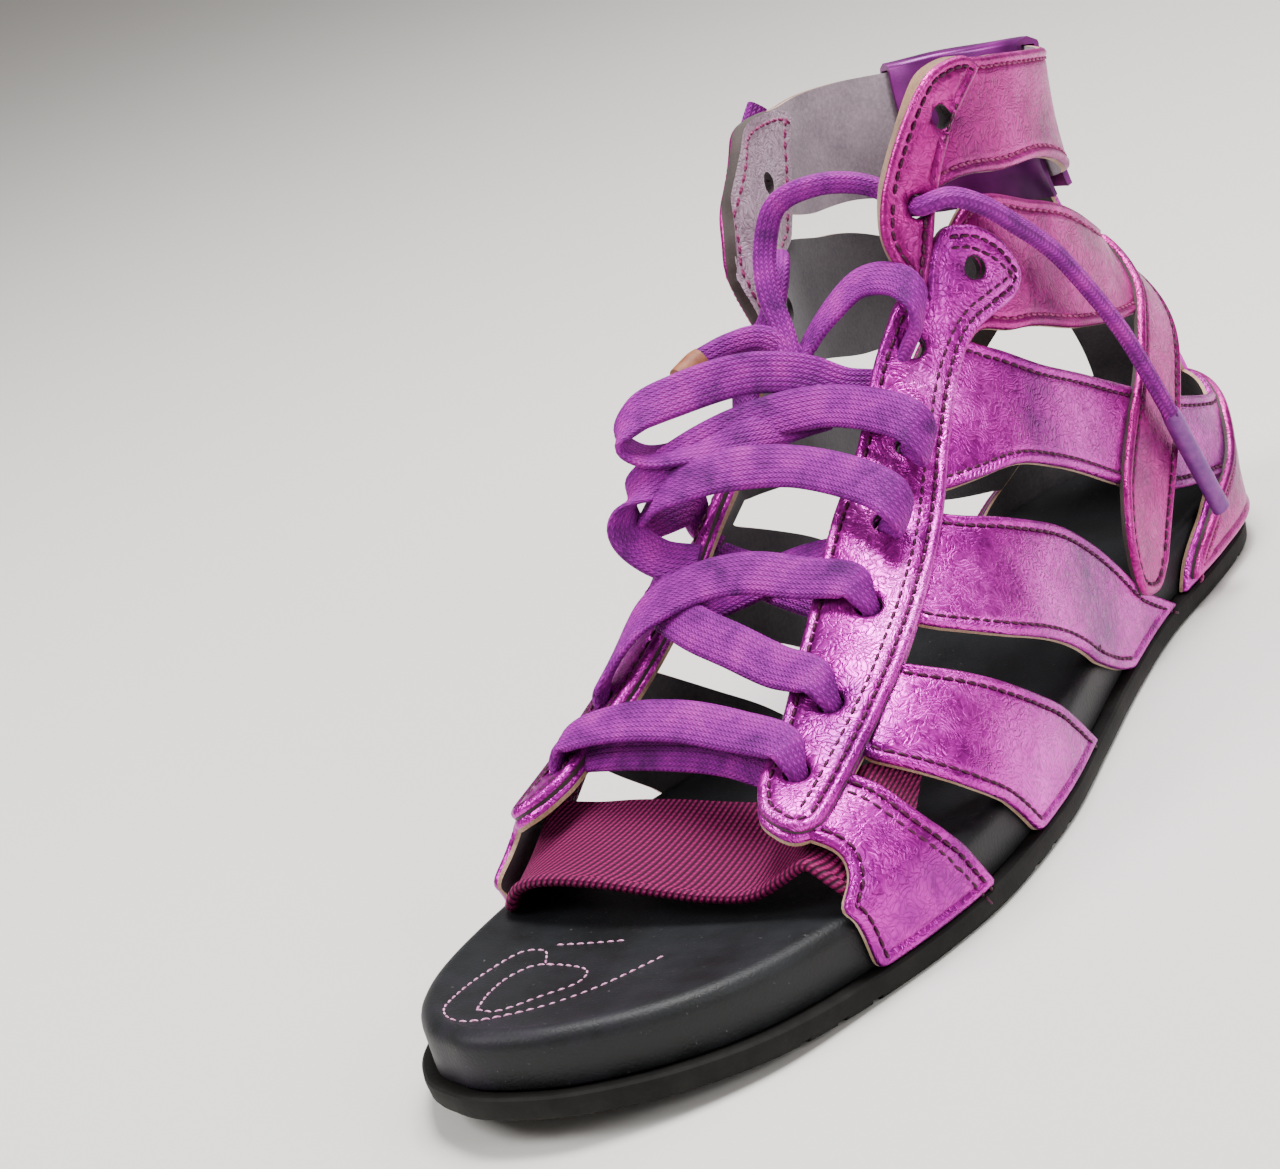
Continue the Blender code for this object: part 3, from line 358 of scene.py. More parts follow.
def rim(u, inset):
    """Point of the sole's outline, moved in. u is 0 at the heel back, 1 or -1 at the toe."""
    u = np.asarray(u, float)
    at = np.where(u >= 0, u * TOE_AT, RING_END + u * (RING_END - TOE_AT))

    def read(a):
        a = np.mod(a, RING_END)
        return np.stack([np.interp(a, RING_ALONG, column) for column in RING.T], -1)

    d = read(at + TANGENT_STEP) - read(at - TANGENT_STEP)
    return read(at) - unit(np.stack([-d[..., 1], d[..., 0]], -1)) * inset


def top_table():
    """The top line in metres, mirrored so that it runs smoothly round the heel."""
    collar = np.array(COLLAR_LINE) * [1, ANKLE_HALF, -SOLE_LENGTH, COLLAR_HEIGHT, 1, 1, 1, 1, 1]
    throat = np.array(THROAT_LINE) * [1, THROAT_HALF, -SOLE_LENGTH, INSTEP_HEIGHT, 1, 1, 1, 1, 1]
    table = np.vstack([collar, throat])
    table[:, 2] += HEEL_BACK_Y
    mirrored = table[:0:-1] * [-1, -1, 1, 1, 1, 1, 1, 1, 1]
    return np.vstack([mirrored, table])


TOP_TABLE = top_table()


def medial_flare(w, v):
    """How far the medial tab stands out straight instead of wrapping round the ankle."""
    rise = ease((w - 0.32) / 0.075) * (1 - 0.28 * ease((w - 0.36) / 0.03))
    end = 1 - ease((w - 0.408) / 0.012)
    return MEDIAL_FLARE * rise * end * np.clip((v - 0.74) / 0.22, 0, 1)


def last(u, v):
    """Outer skin of the upper: u round the rim, v from the ledge (0) to the top line (1)."""
    u = np.asarray(u, float)
    v = np.asarray(v, float)
    w = np.abs(u)
    q = smooth(u, TOP_TABLE[:, 0], TOP_TABLE[:, 1:])
    half, y, z, low_rise, side_in, high_drop, low_lean, high_lean = np.moveaxis(q, -1, 0)
    # The medial side is tucked in and lower round the ankle
    bump = np.exp(-(((w - 0.33) / 0.09) ** 2)) * (u < 0)
    x = half + THROAT_SHIFT * np.clip(w / 0.3, 0, 1) ** 2 + MEDIAL_TUCK * bump
    z = z - MEDIAL_DROP * bump
    foot = rim(u, LEDGE - BED_GAP - WALL)
    fx, fy = foot[..., 0], foot[..., 1]
    ground = OUTSOLE_THICK + FIT + spring(fy)
    bed = ground + FOOTBED_THICK
    rise = z - bed
    p0 = np.stack([fx, fy, bed], -1)
    p1 = np.stack([fx, fy + (y - fy) * low_lean, bed + rise * low_rise], -1)
    p2 = np.stack([x + (fx - x) * side_in, y + (fy - y) * high_lean, z - rise * high_drop], -1)
    p3 = np.stack([x, y, z], -1)
    t = np.clip((v - LOW_SHARE) / (1 - LOW_SHARE), 0, None)[..., None]
    curve = (1 - t) ** 3 * p0 + 3 * (1 - t) ** 2 * t * p1 + 3 * (1 - t) * t**2 * p2 + t**3 * p3
    low = np.stack([fx, fy, ground + (bed - ground) * np.minimum(v / LOW_SHARE, 1)], -1)
    flare = medial_flare(w, v) * (u < 0)
    curve = curve - flare[..., None] * np.array([1, 0, 0])
    return np.where((v < LOW_SHARE)[..., None], low, curve)


def last_frame(u, v):
    """Point and outward normal of the last."""
    e = NORMAL_STEP
    u = np.asarray(u, float)
    v = np.asarray(v, float)
    du = last(u + e, v) - last(u - e, v)
    dv = last(u, v + e) - last(u, np.maximum(v - e, 0))
    return last(u, v), unit(np.cross(du, dv))


# The sign that turns the last's normals outwards
OUT = 1.0 if last_frame([0.3], [0.4])[1][0, 0] > 0 else -1.0


def skin(uv, height):
    """Points at a height over the last, and the outward normals."""
    p, n = last_frame(uv[:, 0], uv[:, 1])
    n = n * OUT
    return p + n * np.reshape(height, (-1, 1)), n


def mirror(panel):
    """A panel moved to the other side of the foot."""
    return [[(-u, v) for u, v in edge] for edge in panel]


def sided(panel, side):
    return panel if side > 0 else mirror(panel)


def slopes(uv):
    """How far the last runs for one unit of u, and of v."""
    e = SLOPE_STEP
    u, v = uv[:, 0], uv[:, 1]
    low = np.maximum(v - e, 0)
    du = (last(u + e, v) - last(u - e, v)) / (2 * e)
    dv = (last(u, v + e) - last(u, low)) / (v + e - low)[:, None]
    return du, dv


def step_in(path, distance, closed):
    """A pattern path moved to its left by a real distance over the last."""
    if closed:
        ahead = np.roll(path, -2, 0) - np.roll(path, 2, 0)
    else:
        ahead = np.gradient(path, axis=0)
    du, dv = slopes(path)
    guu = (du * du).sum(1)
    guv = (du * dv).sum(1)
    gvv = (dv * dv).sum(1)
    nu = -gvv * ahead[:, 1] - guv * ahead[:, 0]
    nv = guu * ahead[:, 0] + guv * ahead[:, 1]
    size = np.sqrt(guu * nu**2 + 2 * guv * nu * nv + gvv * nv**2)
    return path + np.c_[nu, nv] / size[:, None] * np.reshape(distance, (-1, 1))


def even_run(edge, step):
    """One edge of a panel with a point about every step over the last."""
    rough = run_through(edge, 80)
    at = travel(last(rough[:, 0], rough[:, 1]))
    count = max(2, int(round(at[-1] / step)) + 1)
    return read_at(np.linspace(0, at[-1], count), at, rough)


def turns_left(panel):
    """True if the panel's edges run round it with the leather on their left."""
    p = np.vstack([np.array(edge, float) for edge in panel])
    q = np.roll(p, -1, axis=0)
    return (p[:, 0] * q[:, 1] - p[:, 1] * q[:, 0]).sum() > 0


def panel_loop(panel, step):
    """Closed outline of a panel with the leather on its left and its corners eased."""
    edges = list(panel)
    if np.hypot(*(np.array(edges[-1][-1]) - np.array(edges[0][0]))) > 1e-6:
        edges.append([edges[-1][-1], edges[0][0]])
    loop = np.vstack([even_run(edge, step)[:-1] for edge in edges])
    for _ in range(2):
        loop = (np.roll(loop, 1, 0) + 2 * loop + np.roll(loop, -1, 0)) / 4
    return loop if turns_left(panel) else loop[::-1]


def inside(points, loop):
    """Which points lie inside a closed loop."""
    x, y = points[:, 0], points[:, 1]
    hit = np.zeros(len(points), bool)
    for (x0, y0), (x1, y1) in zip(loop, np.roll(loop, -1, axis=0)):
        if y0 != y1:
            cross = (y0 > y) != (y1 > y)
            hit ^= cross & (x < (x1 - x0) * (y - y0) / (y1 - y0) + x0)
    return hit


def hole_ring(u, v, radius, sides):
    """A ring round a punched hole, round on the last."""
    du, dv = (d[0] for d in slopes(np.array([[u, v]])))
    wide = np.linalg.norm(du)
    lean = dv @ du / wide
    tall = np.linalg.norm(dv - du * lean / wide)
    a = np.arange(sides) * 2 * np.pi / sides
    up = radius * np.sin(a) / tall
    return np.c_[u + (radius * np.cos(a) - up * lean) / wide, v + up]


def far_from(points, others):
    """Distance of each point from the nearest of others."""
    tree = KDTree(len(others))
    for i, p in enumerate(others):
        tree.insert(p, i)
    tree.balance()
    return np.array([tree.find(p)[2] for p in points])


def dense(points):
    """A closed run of points with three more between each two."""
    ahead = np.roll(points, -1, 0)
    return np.vstack([points * (1 - t) + ahead * t for t in (0, 0.25, 0.5, 0.75)])


# Spacing of a panel's outline, and rows of points inside it in mm, which carry its rounded edge
CUT_STEP = 0.0012
CUT_ROWS = (0.25, 0.65, 1.15, 1.7, 2.25, 2.8, 3.6)
HOLE_ROWS = (0.35, 0.8, 1.4)
HOLE_SIDES = 20
HOLE_CLEAR = 0.0018
GRID_PITCH = 1.7 * CUT_STEP


def even_grid(loop):
    """Points in staggered columns all over a loop."""
    du, dv = slopes(loop)
    wide, tall = (np.linalg.norm(d, axis=1).mean() for d in (du, dv))
    low, high = loop[:, 1].min(), loop[:, 1].max()
    grid = []
    for k, u in enumerate(np.arange(loop[:, 0].min(), loop[:, 0].max(), GRID_PITCH / wide)):
        pitch = GRID_PITCH / np.linalg.norm(slopes(np.array([[u, (low + high) / 2]]))[1])
        v = np.arange(low, high, pitch) + (k % 2) * pitch / 2
        grid.append(np.c_[np.full(len(v), u), v])
    grid = np.vstack(grid)
    return grid[inside(grid, loop)], np.array([wide, tall])


def cut_leather(panel, holes):
    """Cuts a panel: pattern points, triangles, and each point's way to the edge and to a hole."""
    loop = panel_loop(panel, CUT_STEP)
    rings = [hole_ring(u, v, HOLE_RADIUS, HOLE_SIDES) for u, v in holes]
    rim_points = last(*dense(loop).T)
    centres = [last(np.array([u]), np.array([v]))[0] for u, v in holes]

    def measure(uv):
        p = last(uv[:, 0], uv[:, 1])
        hole = np.full(len(uv), 1.0)
        for c in centres:
            hole = np.minimum(hole, np.linalg.norm(p - c, axis=1) - HOLE_RADIUS)
        return far_from(p, rim_points), hole

    kept = []
    for d in CUT_ROWS:
        row = step_in(loop, d * MM, True)
        row = row[inside(row, loop)]
        far, hole = measure(row)
        kept.append(row[(far > 0.9 * d * MM) & (hole > HOLE_CLEAR)])
    for u, v in holes:
        for d in HOLE_ROWS:
            ring = hole_ring(u, v, HOLE_RADIUS + d * MM, HOLE_SIDES)
            far, hole = measure(ring)
            kept.append(ring[(far > 0.0005) & (hole > 0.9 * d * MM) & inside(ring, loop)])
    grid, scale = even_grid(loop)
    far, hole = measure(grid)
    kept.append(grid[(far > (CUT_ROWS[-1] + 0.8) * MM) & (hole > 0.0022)])
    every = np.vstack([loop, *rings, *kept])
    bounds = []
    start = 0
    for ring in [loop, *rings]:
        bounds.append(list(range(start, start + len(ring))))
        start += len(ring)
    # Triangles inside the panel come from its outline, the first face, and not from a hole's ring
    points = [Vector(p) for p in every * scale]
    flat, _, tris, _, _, origin = delaunay_2d_cdt(points, [], bounds, 0, 1e-5)
    tris = [t for t, ids in zip(tris, origin) if ids and not any(i > 0 for i in ids)]
    used = sorted({i for t in tris for i in t})
    index = {old: new for new, old in enumerate(used)}
    uv = np.array([(flat[i].x, flat[i].y) for i in used]) / scale
    tris = np.array([[index[i] for i in t] for t in tris])
    return uv, tris, *measure(uv)


def tube_faces(rings, sides):
    """Faces of a closed tube: rings of sides points each, capped at both ends."""
    faces = []
    for a in range(0, (rings - 1) * sides, sides):
        b = a + sides
        for j in range(sides):
            i = (j + 1) % sides
            faces.append((a + j, a + i, b + i, b + j))
    faces.append(tuple(reversed(range(sides))))
    faces.append(tuple((rings - 1) * sides + j for j in range(sides)))
    return faces


def finish_mesh(name, verts, faces, materials, sharp=55, uv=None, slots=None):
    """Makes the object, faces it out, smooths it and lets it ride."""
    mesh = bpy.data.meshes.new(name)
    mesh.from_pydata([tuple(p) for p in verts], [], [tuple(f) for f in faces])
    for m in materials:
        mesh.materials.append(m)
    if slots is not None:
        mesh.polygons.foreach_set("material_index", slots)
    if uv is not None:
        layer = mesh.uv_layers.new(name="UVMap")
        corner = np.zeros(len(mesh.loops), int)
        mesh.loops.foreach_get("vertex_index", corner)
        layer.data.foreach_set("uv", np.asarray(uv)[corner].ravel())
    shell = bmesh.new()
    shell.from_mesh(mesh)
    bmesh.ops.recalc_face_normals(shell, faces=shell.faces)
    shell.to_mesh(mesh)
    shell.free()
    mesh.shade_smooth()
    mesh.set_sharp_from_angle(angle=np.radians(sharp))
    obj = bpy.data.objects.new(name, mesh)
    bpy.context.scene.collection.objects.link(obj)
    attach(obj, "root")
    return obj


def relief(uv):
    """Soft folds worn into the leather, in metres over the last."""
    p = last(uv[:, 0], uv[:, 1])
    out = np.zeros(len(uv))
    for u0, v0, u1, v1, width, height in FOLDS:
        a, b = last(np.array([u0, u1]), np.array([v0, v1]))
        d = b - a
        t = np.clip((p - a) @ d / (d @ d), 0, 1)
        far = np.linalg.norm(p - a - t[:, None] * d, axis=1)
        fade = np.sin(np.pi * np.clip(t, 0.08, 0.92)) ** 0.5
        out += height * MM * np.exp(-((far / (width * MM)) ** 2)) * fade
    return out


def border_edges(tris):
    """Edges with a triangle on one side only, in the triangles' direction."""
    border = {}
    for a, b, c in tris:
        for e in ((a, b), (b, c), (c, a)):
            if (e[1], e[0]) in border:
                del border[(e[1], e[0])]
            else:
                border[e] = True
    return border


# Cut of the leather: its rounded edge, the turned-in swell along it, the groove of the seam, the
# dip round a hole, and where the board's edge starts as a share of the depth
EDGE_RADIUS = 0.0006
TURNED = (0.00034, 0.0011, 0.0006)
GROOVE = (0.0004, STITCH_IN, 0.0004)
HOLE_DIP = (0.0006, 0.0009)
SEAM_SHARE = 0.45
# Material slots: face, board edge, lining, and the hole wall in painted shade
FACE, EDGE, LINING, HOLE = range(4)


def leather_piece(name, panel, holes, top, low, materials, node, raw=False):
    """A leather panel on the last: rounded edge, stitch groove, punched holes, lining behind."""
    uv, tris, far, hole = cut_leather(panel, holes)
    r = EDGE_RADIUS
    d = np.clip(np.minimum(far, hole + 0.0002), 0, r)
    high = top - (r - np.sqrt(np.maximum(r * r - (r - d) ** 2, 0)))
    for sign, (tall, middle, wide) in ((1, TURNED), (-1, GROOVE)):
        high = high + sign * tall * np.exp(-(((far - middle) / wide) ** 2))
    high = high - HOLE_DIP[0] * np.exp(-hole / HOLE_DIP[1])
    flow = relief(uv)
    border = border_edges(tris)
    ring = sorted({a for e in border for a in e})
    count = len(uv)
    middle = {a: 2 * count + k for k, a in enumerate(ring)}
    seam = low + SEAM_SHARE * (top - low)
    layers = ((uv, high + flow), (uv, low + flow), (uv[ring], seam + flow[ring]))
    verts = np.vstack([skin(*layer)[0] for layer in layers])
    faces = [tuple(t) for t in tris] + [tuple(t[::-1] + count) for t in tris]
    slots = [FACE] * len(tris) + [LINING] * len(tris)
    for a, b in border:
        faces.append((b, a, middle[a], middle[b]))
        faces.append((middle[b], middle[a], a + count, b + count))
        # Walls round a hole take the near-black painted shade; other walls are face or board edge above,
        # board edge below
        slots.extend([HOLE, HOLE] if hole[a] < far[a] else [EDGE if raw else FACE, EDGE])
    if OUT < 0:
        faces = [f[::-1] for f in faces]
    obj = finish_mesh(name, verts, faces, [*materials, stock("hole")], slots=slots)
    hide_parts(node)


# One stitch along x: share of its half length, then share of its half width
STITCH_RINGS = ((-1.0, 0.25), (-0.8, 0.8), (-0.3, 1.0), (0.3, 1.0), (0.8, 0.8), (1.0, 0.25))
STITCH_SIDES = 6
STITCH_DIP = 0.00022
STITCH_AIM = 0.0004


def stitches_on(run, normals, pitch, trim):
    """Middles, directions and normals of the stitches along a run of points in metres."""
    at = travel(run)
    want = np.arange(trim + pitch / 2, at[-1] - trim, pitch)
    mid = read_at(want, at, run)
    ahead = read_at(want + STITCH_AIM, at, run) - mid
    return mid, ahead, read_at(want, at, normals)


def stitch_edge(edge, left, inset, height, pitch):
    """The stitches along one edge of a panel."""
    run = even_run(edge, 0.0006)
    line = step_in(run, inset if left else -inset, False)
    return stitches_on(*skin(line, height + relief(line)), pitch, 0.0006)


def sew(name, places, thread, material, long=0.00106):
    """All stitches of one thread as one piece."""
    mid, ahead, up = (np.vstack(part) for part in zip(*places))
    ahead = unit(ahead)
    side = np.cross(up, ahead)
    a = np.arange(STITCH_SIDES) * 2 * np.pi / STITCH_SIDES
    share, wide = np.repeat(np.array(STITCH_RINGS), STITCH_SIDES, 0).T
    a = np.tile(a, len(STITCH_RINGS))
    out = np.cos(a) * wide * thread / 2
    rise = np.sin(a) * wide * thread / 2 - STITCH_DIP * share**2
    parts = ((share * long, ahead), (out, side), (rise, up))
    verts = mid[:, None] + sum(size[None, :, None] * way[:, None] for size, way in parts)
    faces = tube_faces(len(STITCH_RINGS), STITCH_SIDES)
    size = len(share)
    every = [tuple(i + k * size for i in f) for k in range(len(mid)) for f in faces]
    return finish_mesh(name, verts.reshape(-1, 3), every, [material], sharp=80)


def hex_linear(code):
    """Linear colour of an sRGB hex value."""
    c = np.array([int(code[i:i + 2], 16) for i in (1, 3, 5)]) / 255
    return tuple(np.where(c <= 0.04045, c / 12.92, ((c + 0.055) / 1.055) ** 2.4))


def per_mm(size):
    """Texture scale that gives one cell for a size in mm."""
    return 1000.0 / size


class Finish:
    """A material in the making, with short calls for the nodes that drive its surface."""

    def __init__(self, name, **values):
        self.mat = bpy.data.materials.new(name)
        self.mat.use_nodes = True
        self.tree = self.mat.node_tree
        self.shader = self.tree.nodes["Principled BSDF"]
        for key, value in values.items():
            self.shader.inputs[key.replace("_", " ")].default_value = value

    def node(self, kind, inputs, **settings):
        """Adds a node and gives its outputs. inputs holds values or outputs of other nodes."""
        node = self.tree.nodes.new("ShaderNode" + kind)
        for key, value in settings.items():
            setattr(node, key, value)
        for key, value in inputs.items():
            if isinstance(value, bpy.types.NodeSocket):
                self.tree.links.new(value, node.inputs[key])
            else:
                node.inputs[key].default_value = value
        return node.outputs

    def place(self):
        """The place on the object, in metres."""
        return self.node("TexCoord", {})["Object"]

    def ribbon(self):
        """Millimetres along and across a ribbon, from its map."""
        split = self.node("SeparateXYZ", {0: self.node("UVMap", {}, uv_map="UVMap")[0]})
        return split[0], split[1]

    def noise(self, place, size, detail, rough=0.5, output="Fac"):
        """Cloudy noise with patches of about size mm."""
        values = {"Vector": place, "Scale": per_mm(size), "Detail": detail, "Roughness": rough}
        return self.node("TexNoise", values)[output]

    def cells(self, place, size):
        """Distance from the borders of small cells of about size mm."""
        values = {"Vector": place, "Scale": per_mm(size)}
        return self.node("TexVoronoi", values, feature="DISTANCE_TO_EDGE")["Distance"]

    def bands(self, place, size, distortion, **values):
        """Slanting waves, bent by noise."""
        inputs = {key.replace("_", " "): value for key, value in values.items()}
        inputs.update({"Vector": place, "Scale": per_mm(size), "Distortion": distortion})
        return self.node("TexWave", inputs, bands_direction="DIAGONAL")["Fac"]

    def math(self, operation, *values):
        return self.node("Math", dict(enumerate(values)), operation=operation)[0]

    def vector(self, operation, *values):
        return self.node("VectorMath", dict(enumerate(values)), operation=operation)[0]

    def span(self, value, low=0.0, high=1.0, to_low=0.0, to_high=1.0):
        """Maps low to high onto to_low to to_high."""
        ends = {"From Min": low, "From Max": high, "To Min": to_low, "To Max": to_high}
        return self.node("MapRange", {"Value": value, **ends})[0]

    def ramp(self, factor, *stops):
        """Colour along a factor, from pairs of a place and a linear colour."""
        out = self.node("ValToRGB", {"Fac": factor})[0]
        elements = out.node.color_ramp.elements
        elements[0].position, elements[1].position = stops[0][0], stops[-1][0]
        for place, _ in stops[1:-1]:
            elements.new(place)
        for element, (_, colour) in zip(elements, stops):
            element.color = (*colour, 1)
        return out

    def scaled(self, colour, factor):
        return self.node("VectorMath", {0: colour, "Scale": factor}, operation="SCALE")[0]

    def mix(self, factor, first, second):
        """Lays a second colour over the first."""
        return self.node("Mix", {0: factor, 6: first, 7: (*second, 1)}, data_type="RGBA")[2]

    def bump(self, height, strength, distance):
        values = {"Height": height, "Strength": strength, "Distance": distance}
        self.tree.links.new(self.node("Bump", values)[0], self.shader.inputs["Normal"])

    def done(self, colour, rough=None):
        """Joins the colour and the roughness to the surface, and gives the material."""
        self.tree.links.new(colour, self.shader.inputs["Base Color"])
        if rough is not None:
            self.tree.links.new(rough, self.shader.inputs["Roughness"])
        return self.mat


def foil_leather(name, base, light, shade, grain=0.36, gloss=0.3, metal=0.86):
    """Foil-coated split leather: a pearl film over wavy crackled grain, so folds flash pale."""
    made = Finish(name, Metallic=metal, Coat_Weight=0.06, Coat_Roughness=0.2)
    place = made.place()
    cloud = made.noise(place, 22, 4.0, 0.6)
    fine = made.noise(place, 2.2, 3.0)
    # Wavy crackle: fine bands bent by noise, strong in patches and cut by small cracks
    bend = made.noise(place, 7, 2.0, output="Color")
    moved = made.vector("ADD", place, made.vector("MULTIPLY", bend, (0.011, 0.011, 0.011)))
    wave = made.bands(moved, 2.5, 6.0, Detail=2.5, Detail_Scale=1.6, Detail_Roughness=0.65)
    crack = made.span(made.cells(moved, 1.5), 0.0, 0.16)
    patch = made.span(cloud, 0.38, 0.62, 0.25, 1.0)
    ridges = made.math("ADD", made.math("MULTIPLY", wave, patch), crack)
    height = made.math("ADD", ridges, fine)
    made.bump(height, grain, 0.00014)
    colour = made.ramp(cloud, (0.28, shade), (0.5, base), (0.75, light))
    # Painted shade darkens the grain's hollows and painted light brightens its ridges, and the film is
    # scuffed off in small flecks
    grain_shade_and_light = made.span(height, 0.5, 2.0, 0.62, 1.15)
    worn = made.span(made.noise(place, 4, 8.0, 0.75), 0.66, 0.72, 1.0, 0.45)
    colour = made.scaled(colour, made.math("MULTIPLY", grain_shade_and_light, worn))
    return made.done(colour, made.span(fine, 0.3, 0.7, gloss - 0.05, gloss + 0.12))


def napped(name, base, worn, size=0.5, rough=0.85):
    """A matt material with short nap or fibre: split leather, board edge or brushed lining."""
    made = Finish(name, Roughness=rough, Sheen_Weight=0.2, Sheen_Roughness=0.5)
    place = made.place()
    fibre = made.noise(place, size, 3.0, 0.7)
    mixed = made.math("MULTIPLY", made.math("ADD", made.noise(place, 9, 5.0), fibre), 0.5)
    made.bump(fibre, 0.4, 0.00015)
    return made.done(made.ramp(mixed, (0.36, worn), (0.62, base)))


def twisted_thread(name, base, light):
    """Bonded polyester sewing thread: twisted, a little waxy."""
    made = Finish(name, Roughness=0.5, Specular_IOR_Level=0.25)
    twist = made.bands(made.place(), 2.0, 2.0)
    return made.done(made.ramp(twist, (0.2, base), (0.8, light)))


def knitted_lace(name, base, light, dark, column=0.95, row=1.0):
    """Flat knitted polyester lace: columns of chevrons, column mm wide and row mm long."""
    made = Finish(name, Roughness=0.62, Specular_IOR_Level=0.22)
    along, across = made.ribbon()
    part = made.math("FRACT", made.math("MULTIPLY", across, 1 / column))
    wing = made.math("ABSOLUTE", made.math("SUBTRACT", part, 0.5))
    lean = made.math("MULTIPLY_ADD", wing, 1.6, made.math("MULTIPLY", along, 1 / row))
    loop = made.math("SINE", made.math("MULTIPLY", lean, 2 * np.pi))
    lifted = made.span(made.span(loop, -1.0, 1.0), to_low=0.35)
    # The valleys between the columns are deep, and painted shade darkens them
    height = made.math("MULTIPLY", lifted, made.span(wing, 0.2, 0.5, 1.0, 0.25))
    made.bump(height, 0.8, 0.0004)
    cloud = made.noise(made.place(), 7, 5.0, 0.65)
    colour = made.ramp(cloud, (0.3, dark), (0.5, base), (0.72, light))
    # Painted shade in the valleys and painted light on the raised loops: the colour is scaled by the
    # knit's height
    return made.done(made.scaled(colour, made.span(height, to_low=0.45, to_high=1.3)))


def rubbed_tube(name, base, light, rough=0.5):
    """Acetate film shrunk round the lace end: smooth with faint scuffs."""
    made = Finish(name, Roughness=rough)
    cloud = made.noise(made.place(), 3, 5.0, 0.7)
    made.bump(cloud, 0.25, 0.0002)
    return made.done(made.ramp(cloud, (0.35, base), (0.7, light)))


def ribbed_elastic(name, base, light, dark, rib=1.25, weft=0.8):
    """Woven elastic web: slanted ribs rib mm apart, each crossed by threads weft mm apart."""
    made = Finish(name, Roughness=0.6, Specular_IOR_Level=0.2)
    along, back = made.ribbon()
    slant = made.math("MULTIPLY_ADD", back, 0.5, along)
    ribs = made.math("SINE", made.math("MULTIPLY", slant, 2 * np.pi / rib))
    threads = made.math("SINE", made.math("MULTIPLY", back, 2 * np.pi / weft))
    knots = made.span(threads, -1.0, 1.0, 0.6, 1.0)
    height = made.math("MULTIPLY", made.span(ribs, -1.0, 0.6), knots)
    made.bump(height, 0.9, 0.0004)
    # Painted shade in the grooves and painted light on the rib crests: the colour follows the rib height
    return made.done(made.ramp(height, (0.05, dark), (0.45, base), (1.0, light)))


def satin_ribbon(name, base, light):
    """Polyester satin: smooth long floats, so it shines along one way."""
    made = Finish(name, Roughness=0.32, Metallic=0.45, Anisotropic=0.6)
    place = made.place()
    made.bump(made.noise(place, 0.6, 1.0), 0.15, 0.0001)
    return made.done(made.ramp(made.noise(place, 12, 3.0), (0.35, base), (0.7, light)))


def moulded_cover(name, base, light, painted_toe_reflection, dust):
    """Polyurethane-covered foam footbed: satin black, dusty, with a painted purple reflection of the
    upper at the toe.
    """
    made = Finish(name, Roughness=0.5, Specular_IOR_Level=0.3)
    place = made.place()
    cloud = made.noise(place, 16, 6.0, 0.65)
    colour = made.ramp(cloud, (0.35, base), (0.7, light))
    # The painted purple reflection lies in patches over the front 26 mm
    toe = made.span(made.node("SeparateXYZ", {0: place})[1], -0.222, -0.196, 1.0, 0.0)
    patch = made.span(cloud, 0.48, 0.75, to_high=0.45)
    colour = made.mix(made.math("MULTIPLY", toe, patch), colour, painted_toe_reflection)
    specks = made.span(made.noise(place, 0.9, 2.0), 0.72, 0.78, to_high=0.3)
    colour = made.mix(specks, colour, dust)
    made.bump(made.span(made.cells(place, 1.1), 0.0, 0.2), 0.18, 0.00012)
    return made.done(colour, made.span(cloud, to_low=0.38, to_high=0.66))


def moulded_rubber(name, base, dusty):
    """Compression moulded rubber: matt black with a dusty skin and fine pits."""
    made = Finish(name, Roughness=0.75, Specular_IOR_Level=0.2)
    place = made.place()
    made.bump(made.noise(place, 0.8, 2.0), 0.35, 0.00018)
    return made.done(made.ramp(made.noise(place, 11, 6.0, 0.7), (0.4, base), (0.75, dusty)))


def pale_paper(name, colour):
    """Matt backdrop paper with a trace of tooth."""
    made = Finish(name, Roughness=0.9)
    tooth = made.noise(made.place(), 1.5, 3.0)
    return made.done(made.scaled(colour, made.span(tooth, to_low=0.97, to_high=1.03)))


